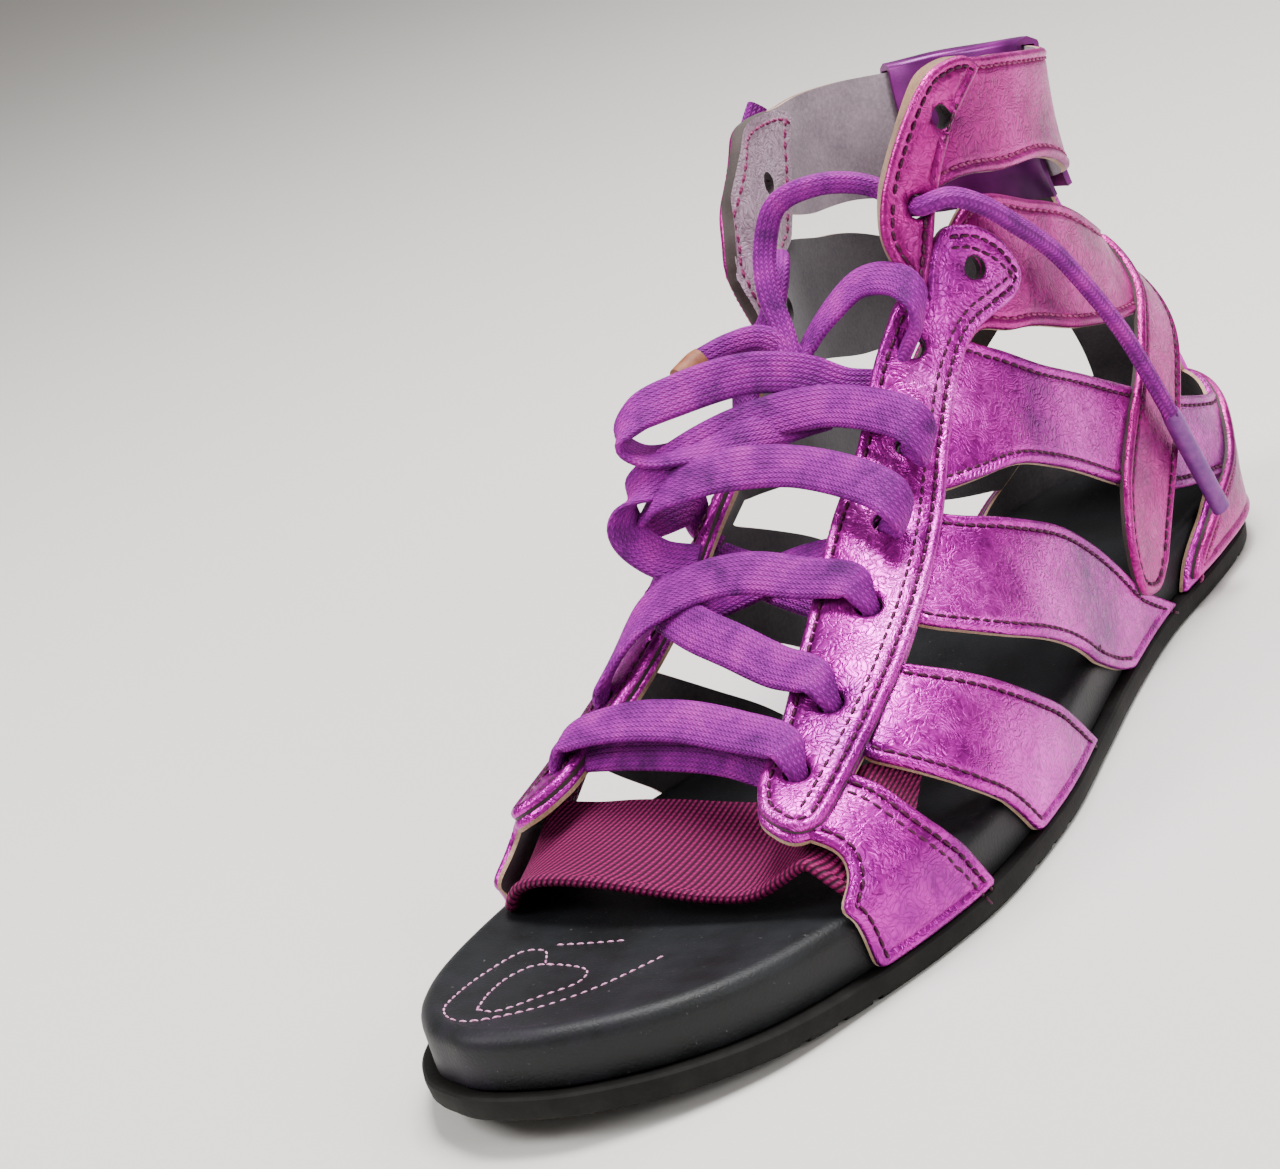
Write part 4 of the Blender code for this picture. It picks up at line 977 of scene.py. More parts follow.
# Each finish: how it is made, the material's name, its colours and its settings
FINISHES = {
    "floor": (pale_paper, "backdrop_paper", ("#E4E1DC",), {}),
    "foil": (foil_leather, "orchid_foil_leather", ("#BE0CAC", "#E238CE", "#6E0874"), {}),
    "foil_over": (foil_leather, "orchid_foil_leather_folded", ("#C414B2", "#EE54DC", "#780A7A"),
                  {"grain": 0.4}),
    "foil_rose": (foil_leather, "rose_foil_leather", ("#B00C86", "#D236A8", "#760862"),
                  {"grain": 0.26, "gloss": 0.33, "metal": 0.78}),
    "lining_pearl": (foil_leather, "pearl_foil_lining", ("#D4B8CA", "#EEDCE8", "#A78F9E"),
                     {"grain": 0.6, "gloss": 0.36, "metal": 0.4}),
    "edge": (napped, "raw_board_edge", ("#C9A88A", "#8E6A50"), {}),
    "edge_brown": (napped, "waxed_leather_edge", ("#A87E5C", "#5E4030"), {"rough": 0.6}),
    "edge_dark": (napped, "painted_leather_edge", ("#3C2A26", "#241816"), {"rough": 0.6}),
    # Near-black painted shade on the walls of the punched holes
    "hole": (napped, "dark_hole_edge", ("#2A1A20", "#160C10"), {}),
    "lining": (napped, "dark_synthetic_lining", ("#5A5458", "#3E393D"), {"size": 0.8, "rough": 0.6}),
    "lining_collar": (napped, "silver_synthetic_lining", ("#B4A2AC", "#8C7C86"),
                      {"size": 0.8, "rough": 0.5}),
    "thread_plum": (twisted_thread, "plum_polyester_thread", ("#30041E", "#52083C"), {}),
    "thread_rose": (twisted_thread, "rose_polyester_thread", ("#6E1248", "#A03C76"), {}),
    "thread_pink": (twisted_thread, "pink_polyester_thread", ("#C07AA8", "#E2AACC"), {}),
    "lace": (knitted_lace, "knitted_polyester_lace", ("#8E0892", "#B424A8", "#5A0464"), {}),
    "tip": (rubbed_tube, "violet_acetate_tip", ("#64187A", "#8A3492"), {}),
    "tip_brown": (rubbed_tube, "tan_acetate_tip", ("#7A3E26", "#A0623C"), {"rough": 0.6}),
    # The elastic's colours: base, painted light for the rib crests, painted shade for the grooves
    "elastic": (ribbed_elastic, "ribbed_elastic_web", ("#6A0444", "#96165E", "#2A021C"), {}),
    "satin": (satin_ribbon, "purple_satin_ribbon", ("#4E0A52", "#92228E"), {}),
    # The footbed's third colour is the painted purple reflection at the toe, the fourth its dust
    "footbed": (moulded_cover, "moulded_footbed_cover", ("#0B0C0E", "#191B1F", "#2C1032", "#8A8688"),
                {}),
    "rubber": (moulded_rubber, "moulded_black_rubber", ("#0E0D0C", "#201E1C"), {}),
}


def size_property(title, about, metres):
    return FloatProperty(name=title, description=about, default=metres, unit="LENGTH")


def colour_property(title, finish):
    """A colour in the panel, which is the first one of a finish."""
    return FloatVectorProperty(name=title, description=f"Main colour of the finish {finish}",
                               subtype="COLOR", default=hex_linear(FINISHES[finish][2][0]))


class SandalSizes(PropertyGroup):
    stitch_pitch: size_property("Stitch pitch", "From one stitch to the next", 0.0024)
    thread: size_property("Thread", "Thickness of the sewing thread", 0.0007)
    overlay: size_property("Overlay", "Height of an overlay above the strap under it", 0.0017)
    lining: size_property("Lining", "Depth of the strap and its lining", 0.0018)


class SandalColours(PropertyGroup):
    foil: colour_property("Straps", "foil")
    foil_over: colour_property("Eyestays", "foil_over")
    foil_rose: colour_property("Collar and counter", "foil_rose")
    lace: colour_property("Lace", "lace")
    elastic: colour_property("Toe elastic", "elastic")
    satin: colour_property("Collar loop", "satin")
    footbed: colour_property("Footbed", "footbed")
    rubber: colour_property("Outsole", "rubber")
    floor: colour_property("Floor", "floor")


STOCK = {}


def stock(name):
    """The finishes, made once, with the panel's colours."""
    if not STOCK:
        chosen = bpy.context.scene.sandal_colours
        for key, (make, title, codes, settings) in FINISHES.items():
            colours = [hex_linear(code) for code in codes]
            if key in SandalColours.__annotations__:
                colours[0] = tuple(getattr(chosen, key))
            STOCK[key] = make(title, *colours, **settings)
    return STOCK[name]


def flat_lace(name, rows, material, key_sides, flat=0.72):
    """A flat lace as one mesh. rows hold x y z, width and thickness in mm; key_sides its flat way."""
    spacing, sides = 0.0007, 20
    rows = np.asarray(rows, float)
    gap = np.linalg.norm(np.diff(rows[:, :3], axis=0), axis=1)
    at = np.r_[0, np.cumsum(np.sqrt(gap))]
    rough = smooth(np.linspace(0, at[-1], 400), at, rows) * MM
    along = travel(rough[:, :3])
    count = max(8, int(along[-1] / spacing))
    want = np.linspace(0, along[-1], count)
    run = read_at(want, along, rough)
    path = run[:, :3]
    ahead = unit(np.gradient(path, axis=0))
    keys = np.asarray(key_sides, float)
    if len(keys) > 1:
        flatway = smooth(np.linspace(0, 1, count), np.linspace(0, 1, len(keys)), keys)
    else:
        flatway = np.repeat(keys, count, 0)
        for k in range(1, count):
            flatway[k] = unit(flatway[k - 1] - ahead[k] * (flatway[k - 1] @ ahead[k]))
    flatway = unit(flatway - ahead * (flatway * ahead).sum(1, keepdims=True))
    up = np.cross(ahead, flatway)
    # The section is an oval with flattened faces
    a = (np.arange(sides) + 0.5) * 2 * np.pi / sides
    x = np.sign(np.cos(a)) * np.abs(np.cos(a)) ** flat
    y = np.sign(np.sin(a)) * np.abs(np.sin(a)) ** flat
    wide = x[None, :] * run[:, 3:4] / 2
    verts = path[:, None] + flatway[:, None] * wide[..., None]
    verts = verts + up[:, None] * (y[None, :] * run[:, 4:5] / 2)[..., None]
    # The map keeps the knit of the two faces apart
    across = (wide / MM).ravel() + 50 + np.tile(np.where(y < 0, 0.35, 0.0), count)
    uv = np.c_[np.repeat(want / MM, sides), across]
    obj = finish_mesh(name, verts.reshape(-1, 3), tube_faces(count, sides), [material], sharp=70, uv=uv)
    return obj, path


def hole_at(index, side):
    """Pattern place of a hole on one side of the foot."""
    moved = side < 0 and index >= FIRST_TAB_HOLE
    u, v = MEDIAL_TAB_HOLES[index - FIRST_TAB_HOLE] if moved else HOLES[index]
    return u * side, v


def hole_frame(index, side):
    """Middle of a hole on the last, its normal, the way down the side and the way to the toe."""
    uv = np.array([hole_at(index, side)])
    p, n = skin(uv, 0.0)
    du, dv = slopes(uv)
    return p[0] / MM, n[0], -unit(dv[0]), unit(du[0]) * side


# How a lace dives into a hole: height over the last, way down the side, width and thickness in mm
DIVE_STRAIGHT = [(-3.5, 0.8, 3.8, 2.6), (-0.6, 0.5, 3.8, 2.6), (1.3, -0.1, 4.2, 2.5),
                 (2.8, -1.6, 5.6, 2.3), (4.0, -4.2, 7.4, 2.1)]
DIVE_HOOKED = [(-3.5, -0.6, 3.8, 2.6), (-0.6, -0.2, 3.7, 2.6), (1.6, 0.9, 4.0, 2.5),
               (3.0, 2.7, 4.9, 2.4), (4.7, 4.5, 6.2, 2.2), (7.0, 4.9, 7.4, 2.1),
               (8.9, 3.0, 8.2, 2.1), (9.6, -0.5, 8.4, 2.1)]


def into_hole(index, side, hooked):
    """The end of a lace that dives into a hole: straight over the edge, or hooked past it."""
    p, n, down, _ = hole_frame(index, side)
    steps = DIVE_HOOKED if hooked else DIVE_STRAIGHT
    return [(*(p + n * h + down * d), w, t) for h, d, w, t in steps]


def cap_rows(verts, base, size, count, across, height, dished):
    """Rows of points across the outline, from the heel to the toe, added to verts."""
    rows = [[base]]
    for k in range(1, count):
        left, right = base + k, base + size - k
        row = [left]
        for m in range(1, across):
            t = m / across
            q = np.array(verts[left]) * (1 - t) + np.array(verts[right]) * t
            q[2] = height + spring(q[1])
            if dished:
                q[2] -= DISH * np.sin(np.pi * t)
            verts.append(q)
            row.append(len(verts) - 1)
        rows.append([*row, right])
    return [*rows, [base + count]]


def slab(levels, across, dished, count=190):
    """A solid on the sole's outline: levels of (height, inset), capped top and bottom."""
    verts = []
    faces = []
    u = np.linspace(0, 1, count + 1)[:-1]
    ring_u = np.r_[u, [1.0], -u[:0:-1]]
    size = len(ring_u)
    for height, inset in levels:
        p = rim(ring_u, inset)
        verts.extend(np.c_[p, height + spring(p[:, 1])])
    for a in range(0, (len(levels) - 1) * size, size):
        b = a + size
        for k in range(size):
            j = (k + 1) % size
            faces.append((a + k, a + j, b + j, b + k))
    for top, level in ((False, 0), (True, len(levels) - 1)):
        rows = cap_rows(verts, level * size, size, count, across, levels[level][0], top and dished)
        for r0, r1 in zip(rows[:-1], rows[1:]):
            if len(r0) == 1:
                strip = [(r0[0], a, b) for a, b in zip(r1, r1[1:])]
            elif len(r1) == 1:
                strip = [(a, r1[0], b) for a, b in zip(r0, r0[1:])]
            else:
                strip = [(a, c, d, b) for a, b, c, d in zip(r0, r0[1:], r1, r1[1:])]
            faces.extend(f if top else f[::-1] for f in strip)
    return np.array(verts), faces


# The camera that gives the photo's view: place, and its right, up and back ways
CAMERA_AT = (0.31807, -0.53027, 0.23524)
CAMERA_TURN = ((0.79076, 0.54325, -0.28209), (0.03131, 0.42435, 0.90496),
              (0.61133, -0.72443, 0.31855))
CAMERA_LENS = 85.22
CAMERA_SENSOR = 36
FLOOR_HALF = 3.0
# Softboxes: place, side in metres and power in watts, all aimed at one place on the shoe
LIGHTS = {
    "key": ((0.10, 0.05, 1.05), 0.42, 20),
    "front": ((-0.5, -0.8, 0.9), 0.5, 11),
    "side": ((0.95, -0.2, 0.55), 0.45, 4.5),
    "rim": ((0.2, 0.85, 0.95), 0.6, 7),
}
LIGHTS_AIM = (0, -0.09, 0.04)
AIR_COLOUR = (1.0, 0.96, 0.93, 1)
AIR_STRENGTH = 0.27


class SANDAL_OT_stage(Operator):
    """Camera, floor and lights"""
    bl_idname = "sandal.stage"
    bl_label = "Stage"

    def execute(self, context):
        scene = context.scene
        camera = bpy.data.objects.new("camera", bpy.data.cameras.new("camera"))
        camera.data.lens = CAMERA_LENS
        camera.data.sensor_width = CAMERA_SENSOR
        camera.data.clip_start = 0.01
        turn = Matrix(CAMERA_TURN).transposed().to_4x4()
        camera.matrix_world = Matrix.Translation(CAMERA_AT) @ turn
        scene.collection.objects.link(camera)
        scene.camera = camera
        mesh = bpy.data.meshes.new("floor")
        corners = ((-1, -1), (1, -1), (1, 1), (-1, 1))
        mesh.from_pydata([(x * FLOOR_HALF, y * FLOOR_HALF, 0) for x, y in corners], [], [(0, 1, 2, 3)])
        mesh.materials.append(stock("floor"))
        floor = bpy.data.objects.new("floor", mesh)
        scene.collection.objects.link(floor)
        for name, (place, size, power) in LIGHTS.items():
            light = bpy.data.lights.new(name, "AREA")
            light.shape = "SQUARE"
            light.size = size
            light.energy = power
            lamp = bpy.data.objects.new(name, light)
            turn = (Vector(place) - Vector(LIGHTS_AIM)).to_track_quat("Z", "Y").to_matrix().to_4x4()
            lamp.matrix_world = Matrix.Translation(place) @ turn
            scene.collection.objects.link(lamp)
        world = bpy.data.worlds.new("studio")
        scene.world = world
        world.use_nodes = True
        air = world.node_tree.nodes["Background"].inputs
        air["Color"].default_value = AIR_COLOUR
        air["Strength"].default_value = AIR_STRENGTH
        return {"FINISHED"}


# The lace's loops and ends: rows of x y z, width and thickness in mm, the flat way at even steps,
# the solid that it stands for, and its far end
CORDS = {
    "lace_front_loop": (
        [(17, -79, 72, 5.0, 2.4), (11, -82, 76, 6.5, 2.2), (5, -86, 78.5, 7.2, 2.1),
         (0, -88.5, 82, 7.6, 2.1), (-4, -91, 84, 7.8, 2.1), (-10, -96, 86.0, 8.0, 2.1),
         (-18, -105, 86.4, 8.0, 2.1), (-24, -111.3, 85.2, 7.8, 2.1),
         (-26.8, -114.6, 81.6, 7.6, 2.1), (-24, -113, 77.7, 7.6, 2.1),
         (-16, -108.5, 76.5, 7.6, 2.1), (-9, -102.5, 76, 7.2, 2.1), (-4.5, -97.5, 75, 6.2, 2.2),
         (-1, -92, 74, 5.0, 2.4), (1, -88, 73, 4.2, 2.6)],
        [(0.1, 0.45, 0.85), (0.1, 0.45, 0.85), (0.1, 0.5, 0.8), (-0.1, 0.6, 0.7), (-0.5, 0.75, 0.2),
         (0, 0.7, 0.6), (0.2, 0.6, 0.7)],
        "lace_loop_front", "bare",
    ),
    "lace_back_loop": (
        [(14.5, -80.5, 80.0, 3.8, 2.8), (17.2, -79.6, 83.6, 3.9, 2.8),
         (19.8, -79.4, 87.2, 4.8, 2.6), (20, -78.5, 91.5, 6.0, 2.3), (16.5, -76.5, 94.6, 6.8, 2.1),
         (8, -76, 95, 7.2, 2.1), (2, -79.5, 91, 6.6, 2.2), (-2.5, -83, 86, 6.0, 2.4),
         (-6, -88, 79, 5.4, 2.4), (-9, -95, 72, 5.0, 2.4)],
        [(-0.2, 0.9, 0.4), (0.0, 0.8, 0.6), (0.1, 0.75, 0.65), (0.1, 0.75, 0.65)],
        "lace_loop_back", "bare",
    ),
    "lace_rise": (
        [(-2, -96, 74, 4.4, 2.8), (-3.5, -89, 82, 4.4, 2.9), (-6.5, -84, 89.5, 4.4, 3.0),
         (-9.8, -80.5, 97, 4.5, 3.1), (-11, -76, 104, 4.5, 3.2), (-8, -73, 111, 4.4, 3.3),
         (0, -70, 113, 4.2, 3.3), (7, -66, 111, 4.0, 3.4), (12.5, -64.5, 107.5, 3.8, 3.4),
         (15.8, -65.3, 105.6, 3.6, 3.4)],
        [(0.8, 0.5, -0.1)],
        "lace_rise", "bare",
    ),
    "lace_free_end": (
        [(16.6, -65.6, 105.3, 3.6, 3.3), (19.3, -66.6, 105.5, 3.6, 3.3),
         (21.6, -66.0, 106.0, 3.7, 3.3), (23.9, -64.3, 105.9, 3.8, 3.3),
         (26.7, -59.2, 102.4, 3.9, 3.3), (28.5, -51.9, 95.7, 3.9, 3.3),
         (29.5, -43.0, 87.3, 3.9, 3.3), (30.1, -34.6, 76.4, 3.9, 3.3),
         (30.7, -26.8, 64.2, 3.9, 3.3), (31.3, -21.0, 51.4, 3.8, 3.3),
         (31.7, -17.0, 41.4, 3.6, 3.3)],
        [(0.1, 0.8, 0.6)],
        "lace_end_lateral", "fitting",
    ),
    "lace_short_end": (
        [(0, -87, 73, 4.4, 3.0), (-2.5, -86, 80, 4.6, 3.0), (-5.5, -85.5, 86, 4.8, 3.0),
         (-10, -86.5, 89.6, 5.0, 3.0), (-15, -90, 90.0, 4.6, 3.2), (-19, -95, 89.3, 4.2, 3.4)],
        [(0.8, 0.3, -0.4)],
        "lace_end_medial", "fitting",
    ),
}
# Tips on the lace's ends: the lace, the tip's rows, finish and solid
TIPS = {
    "lace_free_end": (
        "lace_tip_violet",
        [(31.72, -17.6, 43.0, 3.8, 3.6), (31.75, -16.7, 40.5, 4.1, 3.8),
         (31.9, -12, 28.9, 4.1, 3.7), (32.1, -7.2, 17.4, 4.3, 3.4)],
        "tip", "lace_tip_lateral",
    ),
    "lace_short_end": (
        "lace_tip_tan",
        [(-18.7, -94.4, 89.4, 4.4, 4.2), (-19.3, -95.7, 89.0, 4.8, 4.5),
         (-20.0, -98.4, 88.3, 4.7, 4.3), (-20.5, -100.6, 87.8, 4.5, 3.9)],
        "tip_brown", "lace_tip_medial",
    ),
}
TIP_FLAT_WAY = [(0.1, 0.8, 0.6)]
CORD_LEAST = 0.03
# Lace bars across the throat: hole and side of each end, whether it hooks past the hole, points
# between in mm with width and thickness, the flat way at even steps, and the solid
BARS = {
    "lace_bar_toe": (
        (0, 1, False), (0, -1, False),
        [(10, -153, 41, 8.4, 2.1), (-3, -152, 42.5, 8.5, 2.1), (-16, -153, 42.5, 8.5, 2.1)],
        (0.05, 0.85, 0.5), "lace_bar_toe",
    ),
    "lace_bar_over": (
        (2, 1, False), (1, -1, False),
        [(10, -122.5, 56, 8.5, 2.1), (0, -124, 58, 8.5, 2.1), (-10, -127, 57.5, 8.5, 2.1),
         (-19, -132, 54, 8.4, 2.1)],
        (0.15, 0.8, 0.6), "lace_cross",
    ),
    "lace_bar_under": (
        (1, 1, False), (2, -1, False),
        [(12, -139, 46.5, 8.4, 2.1), (2, -136.5, 49.5, 8.5, 2.1), (-8, -133, 51.5, 8.5, 2.1),
         (-17, -128, 53.5, 8.4, 2.1)],
        (-0.15, 0.8, 0.6), "lace_cross",
    ),
    "lace_bar_fourth": (
        (3, 1, True), (3, -1, False),
        [(3, -106, 71, 8.5, 2.1), (-10, -112, 73, 8.5, 2.1), (-20, -116, 71, 8.5, 2.1),
         (-26, -115, 66, 8.0, 2.1)],
        (0.2, 0.8, 0.6), "lace_bars_top",
    ),
    "lace_bar_fifth": (
        (4, 1, True), None,
        [(4, -92, 77, 8.5, 2.1), (-8, -99, 77.5, 8.0, 2.1), (-17, -109, 76, 7.6, 2.1),
         (-24.5, -117.5, 72, 7.6, 2.1), (-26.5, -121, 66, 7.6, 2.1), (-22, -120, 60, 7.6, 2.1),
         (-15, -118, 57.5, 7.6, 2.1)],
        (0.3, 0.7, 0.65), "lace_bars_top",
    ),
}
# Strands under the eyestays, seen through the throat
INNER = {
    "lace_inner_toe": (
        [(-27, -153, 34, 4, 2.4), (-22, -153, 36.5, 7, 2.1), (-8, -152, 37, 8.2, 2.1),
         (6, -152, 36, 8.2, 2.1), (17, -154, 33, 6, 2.1)],
        (0.05, 0.7, 0.7),
    ),
    "lace_inner_left": (
        [(-21, -119, 47, 5, 2.4), (-12, -117, 50, 8, 2.0), (2, -113, 54, 8, 2.0),
         (15, -108, 56, 5, 2.4)],
        (0.2, 0.8, 0.6),
    ),
    "lace_inner_right": (
        [(19, -120, 46, 5, 2.4), (8, -117, 49.5, 8, 2.0), (-4, -113.5, 52, 8, 2.0),
         (-17, -108, 55, 5, 2.4)],
        (-0.2, 0.8, 0.6),
    ),
}
# The strand from the medial tab's lower hole down to the knot, after its start in the hole
MEDIAL_RISE = [(-13.5, -70, 98, 4.4, 3.0), (-12.5, -77, 92, 4.6, 3.0), (-13.5, -84, 86, 4.8, 2.8),
               (-14, -91, 80, 5.0, 2.6), (-11, -97, 74, 5.0, 2.6)]
MEDIAL_RISE_START = (4.0, 0.5, -2.5)
# The stub behind the medial tab: height over it, way up, way back, width and thickness in mm
MEDIAL_STUB = [(1.4, 1, 0, 3.6, 2.8), (3.0, 3, 2, 4.0, 2.6), (3.0, 7, 7, 4.6, 2.3),
               (2.0, 11, 11.5, 4.8, 2.2), (1.0, 14, 14.5, 4.4, 2.4)]


class SANDAL_OT_lace_cords(Operator):
    """The lace's loops and free ends"""
    bl_idname = "sandal.lace_cords"
    bl_label = "Lace loops and ends"

    def execute(self, context):
        for name, (rows, sides, node, end) in CORDS.items():
            obj, path = flat_lace(name, rows, stock("lace"), sides)
            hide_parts(node)
            if name in TIPS:
                tip_name, tip_rows, finish, tip_node = TIPS[name]
                tip, _ = flat_lace(tip_name, tip_rows, stock(finish), TIP_FLAT_WAY, flat=0.95)
                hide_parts(tip_node)
            length = float(travel(path)[-1])
            width = float(np.median([r[3] for r in rows])) * MM
            if length < max(CORD_LEAST, 6 * width):
                raise RuntimeError(f"{name} is too short for a cord")
        return {"FINISHED"}


class SANDAL_OT_lace_bars(Operator):
    """The lace's bars and crossings, from hole to hole"""
    bl_idname = "sandal.lace_bars"
    bl_label = "Lace bars"

    def execute(self, context):
        lace = stock("lace")
        for name, (first, second, middle, way, node) in BARS.items():
            rows = into_hole(*first) + middle
            aft = -hole_frame(*first[:2])[3]
            way = np.array(way)
            keys = [aft, (aft + way) / 2, way, way]
            if second:
                rows += into_hole(*second)[::-1]
                other = -hole_frame(*second[:2])[3]
                keys += [(other + way) / 2, other]
            else:
                keys += [way, way]
            obj, _ = flat_lace(name, rows, lace, keys)
            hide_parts(node)
        p, n, _, _ = hole_frame(FIRST_TAB_HOLE, -1)
        start = [(*(p + n * h), 3.8, 3.0) for h in MEDIAL_RISE_START]
        flat_lace("lace_medial_rise", start + MEDIAL_RISE, lace, [(0.7, 0.6, 0.0)])
        p, n, down, fore = hole_frame(FIRST_TAB_HOLE + 1, -1)
        rows = [(*(p + n * h - down * d - fore * b), w, t) for h, d, b, w, t in MEDIAL_STUB]
        flat_lace("lace_medial_stub", rows, lace, [fore])
        for name, (rows, way) in INNER.items():
            flat_lace(name, rows, lace, [way, way])
        return {"FINISHED"}


SIDES = ((1, "lateral"), (-1, "medial"))
SIDE_STRAPS = {
    "strap_toe": TOE_STRAP,
    "strap_second": SECOND_STRAP,
    "strap_third": THIRD_STRAP,
    "strap_fourth": FOURTH_STRAP,
}
# Layers that lie on each other are set a hair apart
HAIR = 0.00002
TAB_RISE = {1: 0.0014, -1: 0.0006}
TAB_BACK = -0.0023
EAR_HOLE = 6


class SANDAL_OT_straps(Operator):
    """The net of straps: side straps, ankle and collar straps, tabs and the back"""
    bl_idname = "sandal.straps"
    bl_label = "Straps"

    def execute(self, context):
        deep = context.scene.sandal_sizes.lining
        edge, lining = stock("edge"), stock("lining")
        foil_cut = [stock("foil"), edge, lining]
        rose_cut = [stock("foil_rose"), edge, lining]
        collar_cut = [stock("foil_rose"), edge, stock("lining_collar")]
        for side, label in SIDES:
            for k, (name, panel) in enumerate(SIDE_STRAPS.items()):
                leather_piece(f"{name}_{label}", sided(panel, side), [], HAIR * k, -deep + HAIR * k,
                              foil_cut, "upper")
            holes = [hole_at(k, side) for k in range(EAR_HOLE)]
            leather_piece(f"eyestay_base_{label}", sided(EYESTAY, side), holes, -6 * HAIR,
                          -deep - 6 * HAIR, foil_cut, "upper")
            tab = TAB if side > 0 else mirror(MEDIAL_TAB)
            rim_finish = stock("edge_brown" if side > 0 else "edge_dark")
            holes = [hole_at(FIRST_TAB_HOLE, side), hole_at(FIRST_TAB_HOLE + 1, side)]
            leather_piece(f"collar_tab_{label}", tab, holes, TAB_RISE[side], TAB_BACK,
                          [stock("foil_rose"), rim_finish, stock("lining_pearl")], "upper", raw=True)
        ear_holes = [hole_at(EAR_HOLE, side) for side, _ in SIDES]
        top_holes = [hole_at(FIRST_TAB_HOLE + 1, side) for side, _ in SIDES]
        for name, panel, holes, top, low, cut in (
            ("ankle_strap", ANKLE_STRAP, ear_holes, 7 * HAIR, 7 * HAIR, rose_cut),
            ("collar_strap", COLLAR_STRAP, top_holes, 5 * HAIR, 5 * HAIR, collar_cut),
            ("back_strap", BACK_STRAP, [], -5 * HAIR, -5 * HAIR, foil_cut),
            ("counter_base", COUNTER, [], -10 * HAIR, -3 * HAIR, foil_cut),
        ):
            leather_piece(name, panel, holes, top, low - deep, cut, "upper")
        return {"FINISHED"}


class SANDAL_OT_overlays(Operator):
    """Folded eyestays with their ears, upright side straps and the heel counter"""
    bl_idname = "sandal.overlays"
    bl_label = "Overlays"

    def execute(self, context):
        rise = context.scene.sandal_sizes.overlay
        dark = stock("edge_dark")
        over_cut = [stock("foil_over"), dark, dark]
        rose_cut = [stock("foil_rose"), dark, dark]
        low = -5 * HAIR
        for side, label in SIDES:
            holes = [hole_at(k, side) for k in range(EAR_HOLE + 1)]
            leather_piece(f"eyestay_{label}_folded", sided(EYESTAY_OVER, side), holes, rise, low,
                          over_cut, f"eyestay_{label}")
            leather_piece(f"side_strap_{label}_sewn", sided(SIDE_STRAP, side), [], rise, low,
                          rose_cut, f"side_strap_{label}")
        leather_piece("counter_overlay", COUNTER_OVER, [], rise + 5 * HAIR, low, rose_cut, "counter")
        return {"FINISHED"}


# Rows of pink stitches on the footbed under the toes, x and y in mm
BED_STITCHES = [
    [(-12, -190.8), (-13.5, -190.9), (-17.4, -186.4), (-21.2, -187.3), (-22.8, -197.2),
     (-21.6, -206.3), (-19.4, -211.6), (-15.8, -214.5), (-12.7, -214.5), (-3.2, -206.5),
     (2.3, -198.7), (7.9, -185.3)],
    [(-14.1, -209.6), (-16.5, -203.3), (-17.3, -196.8), (-15.6, -192), (-12, -190.8), (-4, -192),
     (-2.5, -196.5), (-6, -202.5), (-10.4, -209.3), (-14.1, -209.6)],
    [(-16.8, -184), (-10, -182.2), (-4.4, -180.6)],
]
# Sewn edges: panel, edge, and each row's inset as a share of STITCH_IN
STRAP_SEAMS = (
    (TOE_STRAP, 0, (1.0,)), (TOE_STRAP, 2, (1.0, 2.0)),
    (SECOND_STRAP, 0, (1.0,)), (SECOND_STRAP, 2, (1.0,)),
    (THIRD_STRAP, 0, (1.0,)), (THIRD_STRAP, 2, (1.0,)),
    (FOURTH_STRAP, 0, (1.0,)), (FOURTH_STRAP, 3, (1.0,)),
)
TAB_SEAMS = ((0, (1.0,)), (1, (1.0,)), (2, (1.0,)), (3, (0.6,)))
OVERLAY_SEAMS = (
    (EYESTAY_OVER, 0, (1.0,)), (EYESTAY_OVER, 1, (1.0,)), (EYESTAY_OVER, 2, (1.0, 2.0)),
    (SIDE_STRAP, 0, (1.0,)), (SIDE_STRAP, 1, (1.0,)), (SIDE_STRAP, 2, (1.0,)),
)
SUNK = 0.00005
BED_PITCH = 0.0019
BED_THREAD = 0.00042
BED_STITCH_HALF = 0.0008


def bed_dish(xy):
    """How far the footbed's top sinks below its rim at some points."""
    u = np.linspace(0, 1, 300)
    inset = LEDGE + SHOULDER
    right, left = rim(u, inset), rim(-u, inset)
    wide = np.interp(-xy[:, 1], -right[:, 1], right[:, 0])
    narrow = np.interp(-xy[:, 1], -left[:, 1], left[:, 0])
    t = np.clip((xy[:, 0] - narrow) / (wide - narrow), 0, 1)
    return DISH * np.sin(np.pi * t)


